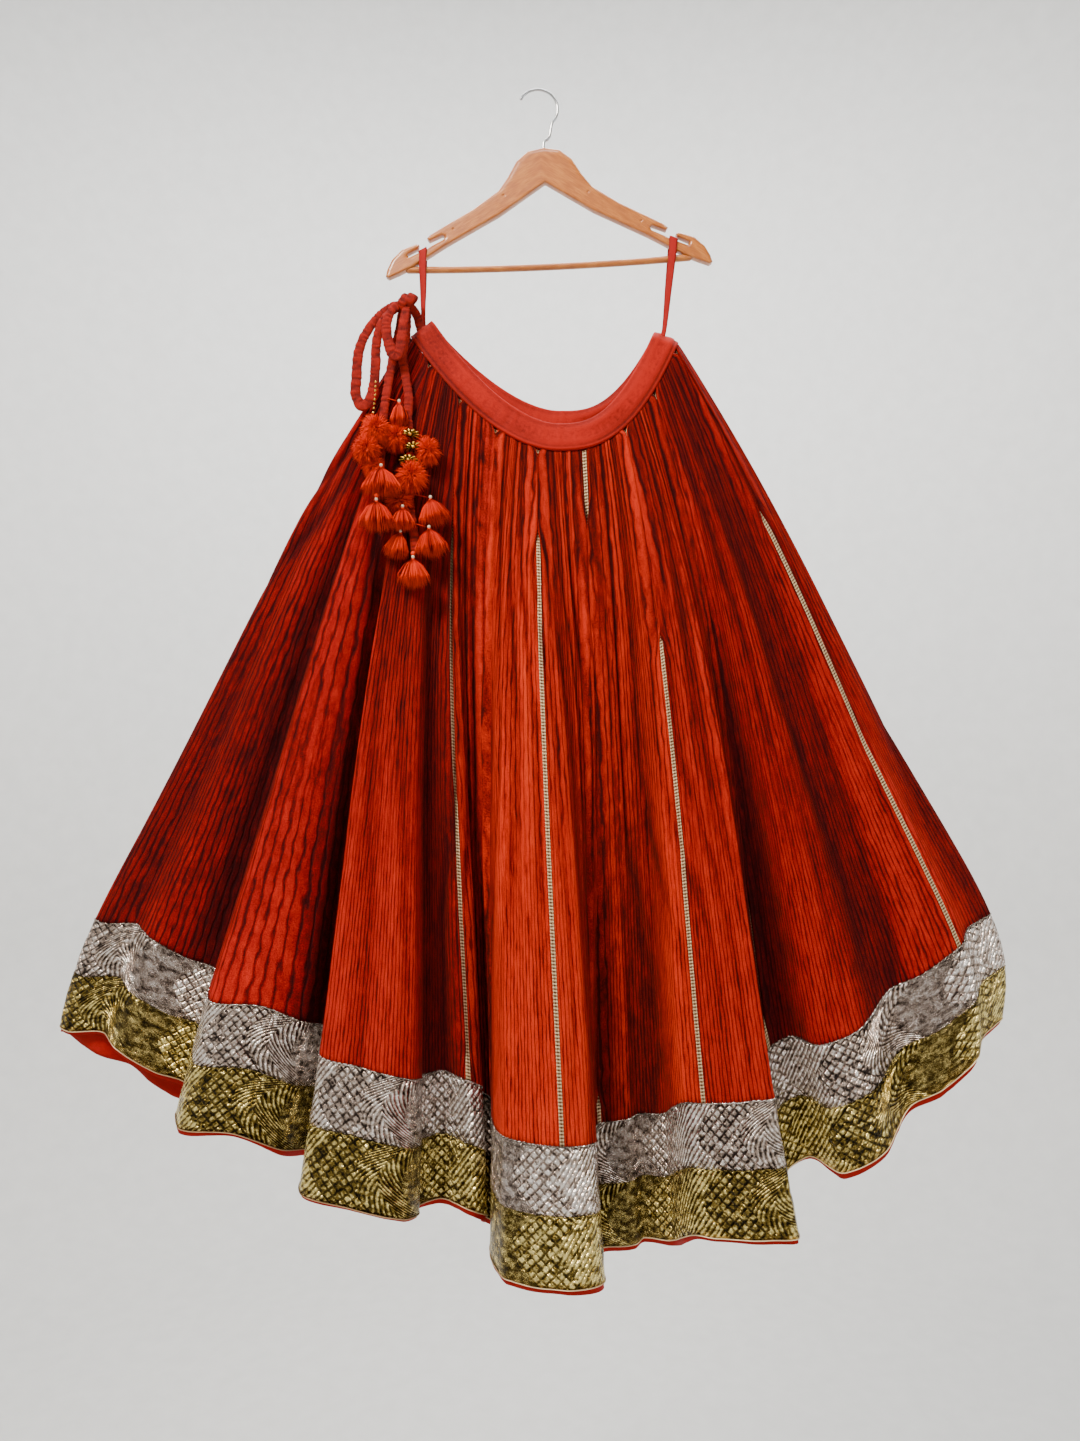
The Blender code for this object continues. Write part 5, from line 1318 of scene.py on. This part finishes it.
def make_loop(side, name, node):
    crest = tilted(side * NOTCH_FLOOR[0], NOTCH_FLOOR[1])
    floor = unit(tilted(side * NOTCH_SLOPE[0], NOTCH_SLOPE[1]) * side)
    rise = np.array([-floor[2], 0, floor[0]])
    half = HANGER_THICKNESS / 2 + LOOP_THICKNESS / 2 + SEAM_GAP
    over = LOOP_THICKNESS / 2 + SEAM_GAP
    centres, across = [], []
    for face in (1, -1):
        foot, away, up = loop_foot(side, face)
        front = np.array([0, -face, 0.0])
        above = foot + away * 7 * MM
        fall = unit((above - crest) * np.array([1, 0, 1]))
        rows = [(foot - away * 4 * MM, -up * side * 0.55), (above, -up * side * 0.5),
                ((above + crest) / 2 + front * half * 0.5, (floor * 0.5 - up * side * 0.5) * 0.8),
                (crest + front * half + fall * ARM_COVER, (floor * 0.8 - up * side * 0.2) * 0.95),
                (crest + front * half - rise * 1.5 * MM, floor),
                (crest + front * half * 0.72 + rise * (over + 0.3 * MM), floor)]
        rows = rows if face > 0 else rows[::-1]
        centres += [row[0] for row in rows]
        across += [row[1] for row in rows]
    line = smooth_path(np.array(centres), 1.6 * MM)
    at, marks = lengths(line), lengths(np.array(centres))
    marks = marks / marks[-1] * at[-1]
    side_way = np.stack([np.interp(at, marks, np.array(across)[:, k]) for k in range(3)], axis=-1)
    shares = np.linspace(-0.5, 0.5, 7)
    flat = unit(np.cross(np.gradient(line, axis=0), side_way))
    uneven = noise(at[:, None] / (9 * MM), shares[None] * 2, 61 + side) - 0.5
    curl = (0.25 - shares**2)[None, :] * 1.6 * MM + uneven * 0.5 * MM
    sideways = side_way[:, None] * (shares * LOOP_WIDTH)[None, :, None]
    points = line[:, None] + sideways - side * flat[:, None] * curl[..., None]
    uv = np.stack(np.broadcast_arrays(at[:, None], (shares * LOOP_WIDTH)[None]), axis=-1)
    # Painted shade: the middle of the curled ribbon is lighter and its curled edges darker.
    flags = {"fold": np.broadcast_to(0.4 + 3 * (0.25 - shares**2), points.shape[:2]).ravel()}
    piece = add_thickness(add_grid(name, points, uv, LOOP_SATIN, [node], flags=flags), 0.9 * MM)
    piece.modifiers["thickness"].offset = 0
    print(name, round(at[-1], 3), "m long")


make_loop(-1, "ribbon_loop_left", "hanging_loop_left")
make_loop(1, "ribbon_loop_right", "hanging_loop_right")

# %% [markdown]
# The hanger is flat wood, 12 mm thick, with its upper edges rounded well over, its lower edges only eased and
# a dowel between its horns. Its front is a height over an outline: the outline is filled with triangles, and
# each point's height follows a quarter ellipse from the edge inwards. The back mirrors the front.

# %% The hanger's body
HANGER_HALF = (
    (0, 72.5), (20, 76), (35, 88), (47, 108), (59, 124), (92, 146), (127, 164.5), (148, 176),
    (152, 180.5), (149, 184), (132, 177), (129.5, 179.5), (131, 182.5), (163, 198), (176, 203.5), (177.5, 199.5),
    (163, 192.5), (161, 188.5), (165, 186.5), (184, 193), (197, 205), (204, 218), (206, 226), (202, 228.5),
    (189, 223.5), (172, 216), (158, 208), (127, 190), (59, 155), (0, 117),
)
EDGE_OFFSETS = (0.25, 0.7, 1.3, 2.1, 3.1, 4.3, 5.6)
FILL_PITCH = 2.4
PIN_HOLES, PIN_RADIUS, PIN_DEPTH = ((53, 132), (118, 171.5)), 1.7, 1.1


def hanger_outline():
    """The whole outline in millimetres, cut into short runs and its corners trimmed twice, each time keeping
    the points a quarter of the way in from both ends of every run."""
    corners = np.array(list(HANGER_HALF) + [(-x, drop) for x, drop in HANGER_HALF[-2:0:-1]], float)
    runs = []
    for a, b in zip(corners, np.roll(corners, -1, axis=0)):
        count = max(1, round(np.linalg.norm(b - a) / 2.6))
        runs.append(a + (b - a) * (np.arange(count) / count)[:, None])
    line = np.concatenate(runs)
    for _ in range(2):
        after = np.roll(line, -1, axis=0)
        line = np.stack([0.75 * line + 0.25 * after, 0.25 * line + 0.75 * after], axis=1).reshape(-1, 2)
    return line


def edge_distance(points, line):
    """(distance to the outline, how far its nearest edge faces down from -1 to 1, whether a point is inside)."""
    a, b = line, np.roll(line, -1, axis=0)
    run = b - a
    t = np.clip(((points[:, None] - a) * run).sum(-1) / (run**2).sum(-1), 0, 1)
    gap = np.linalg.norm(points[:, None] - (a + run * t[..., None]), axis=-1)
    nearest = gap.argmin(axis=1)
    facing = (run[nearest, 0] / np.linalg.norm(run[nearest], axis=1)) * -1
    straddles = (a[:, 1] > points[:, 1:2]) != (b[:, 1] > points[:, 1:2])
    crossing = a[:, 0] + (points[:, 1:2] - a[:, 1]) / np.where(run[:, 1] == 0, 1e-9, run[:, 1]) * run[:, 0]
    return gap.min(axis=1), facing, (straddles & (points[:, :1] < crossing)).sum(axis=1) % 2 == 1


def make_hanger_body():
    line = hanger_outline()
    run = np.roll(line, -1, axis=0) - np.roll(line, 1, axis=0)
    inwards = np.stack([-run[:, 1], run[:, 0]], axis=-1) / np.linalg.norm(run, axis=1)[:, None]
    rings = [line + inwards * offset for offset in EDGE_OFFSETS]
    kept = []
    for offset, ring in zip(EDGE_OFFSETS, rings):
        gap, _, inside = edge_distance(ring, line)
        kept.append(ring[inside & (gap > 0.93 * offset)])
    x, y = np.meshgrid(np.arange(-210, 211, FILL_PITCH), np.arange(70, 232, FILL_PITCH * 0.87))
    x = x + FILL_PITCH / 2 * (np.arange(len(x)) % 2)[:, None]
    fill = np.stack([x.ravel(), y.ravel()], axis=-1)
    gap, _, inside = edge_distance(fill, line)
    kept.append(fill[inside & (gap > EDGE_OFFSETS[-1] + 1.2)])
    holes = np.array([(side * right, drop) for right, drop in PIN_HOLES for side in (-1, 1)], float)
    turn = np.arange(12) / 12 * math.tau
    circle = np.stack([np.cos(turn), np.sin(turn)], axis=-1)
    for reach in (0.4, 0.8, 1.1, 1.5):
        kept.append((holes[:, None] + circle * PIN_RADIUS * reach).reshape(-1, 2))
    spots = np.concatenate([line] + kept)
    edges = [(k, (k + 1) % len(line)) for k in range(len(line))]
    flat, _, faces, *_ = mathutils.geometry.delaunay_2d_cdt([Vector(spot) for spot in spots], edges, [], 1, 1e-4)
    flat = np.array([tuple(spot) for spot in flat])
    gap, facing, _ = edge_distance(flat, line)
    lower = step(-0.1, 0.5, facing)
    crown = np.exp(-((flat[:, 0] / 38) ** 2))
    reach = (5.2 + 5 * crown) * (1 - lower) + 2.2 * lower
    rim = 1.4 * (1 - lower) + 4.2 * lower
    high = rim + (HANGER_THICKNESS / MM / 2 - rim) * np.sqrt(1 - (1 - np.clip(gap / reach, 0, 1)) ** 2)
    dent = np.linalg.norm(flat[:, None] - holes[None], axis=-1).min(axis=1) / PIN_RADIUS
    high = high - PIN_DEPTH * (1 - step(0.55, 1.2, dent))
    place_flat = tilted(flat[:, 0], flat[:, 1])
    front = place_flat - np.array([0, 1, 0]) * high[:, None] * MM
    back = place_flat + np.array([0, 1, 0]) * high[:, None] * MM
    faces = np.array([face for face in faces if len(face) == 3])
    a, b, c = (flat[faces[:, k]] for k in range(3))
    turned = (b - a)[:, 0] * (c - a)[:, 1] - (b - a)[:, 1] * (c - a)[:, 0] < 0
    faces[turned] = faces[turned][:, ::-1]
    sides = np.concatenate([faces[:, [0, 1]], faces[:, [1, 2]], faces[:, [2, 0]]])
    keys = sides[:, 0] * len(flat) + sides[:, 1]
    rim_sides = sides[~np.isin(keys, sides[:, 1] * len(flat) + sides[:, 0])]
    count = len(flat)
    walls = np.concatenate([
        np.stack([rim_sides[:, 0], rim_sides[:, 1], rim_sides[:, 1] + count], axis=-1),
        np.stack([rim_sides[:, 0], rim_sides[:, 1] + count, rim_sides[:, 0] + count], axis=-1),
    ])
    faces = np.concatenate([faces[:, ::-1], faces + count, walls])
    points = np.concatenate([front, back])
    return close_up(add_piece("hanger_wood", points, faces, VARNISHED_WOOD, ["hanger_body"]))


def make_wood(name, degrees):
    """Rubberwood under orange varnish. The grain is noise drawn out along the arm, whose direction is mirrored
    left and right by the absolute value of x, and fine pores run the same way under a glossy coat."""
    material, tree, shader = new_material(name, roughness=0.38, coat=0.7, coat_roughness=0.12)
    split = add_node(tree, "SeparateXYZ", {0: add_node(tree, "TexCoord").outputs["Object"]}).outputs
    side = add_node(tree, "Math", {0: split[0]}, operation="ABSOLUTE").outputs[0]
    c, s = math.cos(math.radians(degrees)), math.sin(math.radians(degrees))
    along, over = sum_of(tree, (side, c), (split[2], -s)), sum_of(tree, (side, s), (split[2], c))
    place_of = add_node(tree, "CombineXYZ", {0: along, 1: over, 2: split[1]}).outputs[0]

    def grain(scale, detail):
        mapped = add_node(tree, "Mapping", {"Vector": place_of, "Scale": scale}).outputs[0]
        return add_node(tree, "TexNoise", {"Vector": mapped, "Detail": detail, "Roughness": 0.6}).outputs[0]

    bands, pores = grain((14, 260, 60), 3.0), grain((60, 1500, 700), 2.0)
    broad = grain((9, 30, 30), 2.0)
    shade = sum_of(tree, (bands, 0.5), (pores, 0.25), (broad, 0.35))
    add_node(
        tree, "ValToRGB", {"Fac": shade},
        stops=((0.32, "#85400a"), (0.55, "#b9661a"), (0.75, "#dc8f3a")),
        feeds=shader.inputs["Base Color"],
    )
    add_node(
        tree, "Bump", {"Height": pores, "Distance": 0.12 * MM},
        feeds=shader.inputs["Normal"],
    )
    return material


VARNISHED_WOOD = make_wood("varnished_rubberwood", 32)
DOWEL_WOOD = make_wood("varnished_dowel", 0)
body = make_hanger_body()
print("hanger body", triangles_of(body), "triangles")

# %% The dowel and the hook
DOWEL_HALF, DOWEL_DROP, DOWEL_SAG, DOWEL_RADIUS = 182, 218, 4, 4.2 * MM
HOOK_RADIUS, HOOK_SHIFT, HOOK_OPENING, WIRE_RADIUS = 25 * MM, -4 * MM, (152, -44), 1.7 * MM
along = np.linspace(-1, 1, 90)
dowel = tilted(DOWEL_HALF * along, DOWEL_DROP + DOWEL_SAG * (1 - along**2))
add_tube("hanger_dowel", dowel, 2 * DOWEL_RADIUS, 2 * DOWEL_RADIUS, DOWEL_WOOD, ["hanger_body"],
         sides=20)
CHROME = make_metal("chrome_plated_wire", "#c9cacc", 0.16)
turn = np.radians(np.linspace(*HOOK_OPENING, 15))
arc = np.stack([
    HOOK_SHIFT + HOOK_RADIUS * np.cos(turn), 0 * turn, WIRE_RADIUS - HOOK_RADIUS + HOOK_RADIUS * np.sin(turn),
], axis=-1)
neck = tilted(0, HANGER_HALF[0][1]) + np.array([(7, 0, 14), (1.5, 0, 9), (0, 0, 5), (0, 0, -5)]) * MM
wire = smooth_path(np.concatenate([arc, neck]), 1.0 * MM)
tip = 2 * WIRE_RADIUS + 1.3 * MM * np.exp(-(((lengths(wire) - 1.6 * MM) / (1.3 * MM)) ** 2))
add_tube("hook", wire, tip, tip, CHROME, ["hanger_hook"], sides=16)
print("hook wire", round(lengths(wire)[-1], 3), "m")

# %% [markdown]
# The studio is plain: a round pale floor that sweeps up into a pale wall on all sides, so that every view has
# the same ground. A broad key light stands at the upper left, a weaker fill at the right and a soft one behind
# for the other views, and two lamps brighten the wall. They are stage, not part of the object. Metal mirrors
# whatever is round it: bright lamps with darker room between them give the border its light and dark patches, along
# with the patches of painted reflection in its colour.

# %% The stage
FLOOR_Z, SWEEP_START, SWEEP_RADIUS, WALL_TOP = -3.0, 3.0, 1.2, 3.2


def make_stage():
    """A floor, a quarter circle up and a wall, as one profile turned about the Z axis."""
    bend = np.linspace(0, math.pi / 2, 24)
    out = np.concatenate([[0.001], SWEEP_START + SWEEP_RADIUS * np.sin(bend), [SWEEP_START + SWEEP_RADIUS]])
    z = np.concatenate([[FLOOR_Z], FLOOR_Z + SWEEP_RADIUS * (1 - np.cos(bend)), [WALL_TOP]])
    turn = np.arange(96) / 96 * math.tau
    x, y = out[:, None] * np.cos(turn), out[:, None] * np.sin(turn)
    points = np.stack(np.broadcast_arrays(x, y, z[:, None]), axis=-1)
    mesh = bpy.data.meshes.new("sweep")
    mesh.from_pydata(points.reshape(-1, 3), [], grid_faces(len(out), len(turn), True).tolist())
    mesh.shade_smooth()
    material, tree, shader = new_material("pale_paper_backdrop", roughness=0.95, specular=0.1)
    mottle = pattern(tree, "TexNoise", (3, 3, 3), source="Object", detail=3.0)
    add_node(
        tree, "ValToRGB", {"Fac": mottle},
        stops=((0.3, "#d2d2d0"), (0.7, "#d8d8d6")),
        feeds=shader.inputs["Base Color"],
    )
    mesh.materials.append(material)
    sweep = bpy.data.objects.new("sweep", mesh)
    bpy.context.scene.collection.objects.link(sweep)


def add_light(name, place, energy, size, colour, aim=(0, 0, -0.85)):
    """A square area light, its back turned away from the point that it aims at."""
    data = bpy.data.lights.new(name, "AREA")
    data.energy, data.size, data.color = energy, size, linear(colour)[:3]
    light = bpy.data.objects.new(name, data)
    light.location = place
    light.rotation_euler = (Vector(aim) - Vector(place)).to_track_quat("-Z", "Y").to_euler()
    bpy.context.scene.collection.objects.link(light)


make_stage()
add_light("key", (-1.2, -1.7, 1.2), 108, 0.7, "#fff4e8")
add_light("fill", (1.8, -1.9, -0.4), 12, 1.3, "#f2f5ff")
add_light("top", (0.1, -0.9, 1.5), 8, 0.6, "#ffffff")
add_light("back", (0.6, 2.4, 0.9), 26, 1.6, "#fff8f0")
add_light("backdrop", (0.0, 1.0, 1.8), 318, 2.2, "#ffffff", aim=(0, 4.2, -0.8))
add_light("backdrop_front", (0.0, -1.6, 2.4), 30, 2.2, "#ffffff", aim=(0, -4.2, -0.8))
world = bpy.data.worlds.new("studio")
world.use_nodes = True
world.node_tree.nodes["Background"].inputs["Color"].default_value = linear("#dcdde0")
world.node_tree.nodes["Background"].inputs["Strength"].default_value = 0.05
bpy.context.scene.world = world
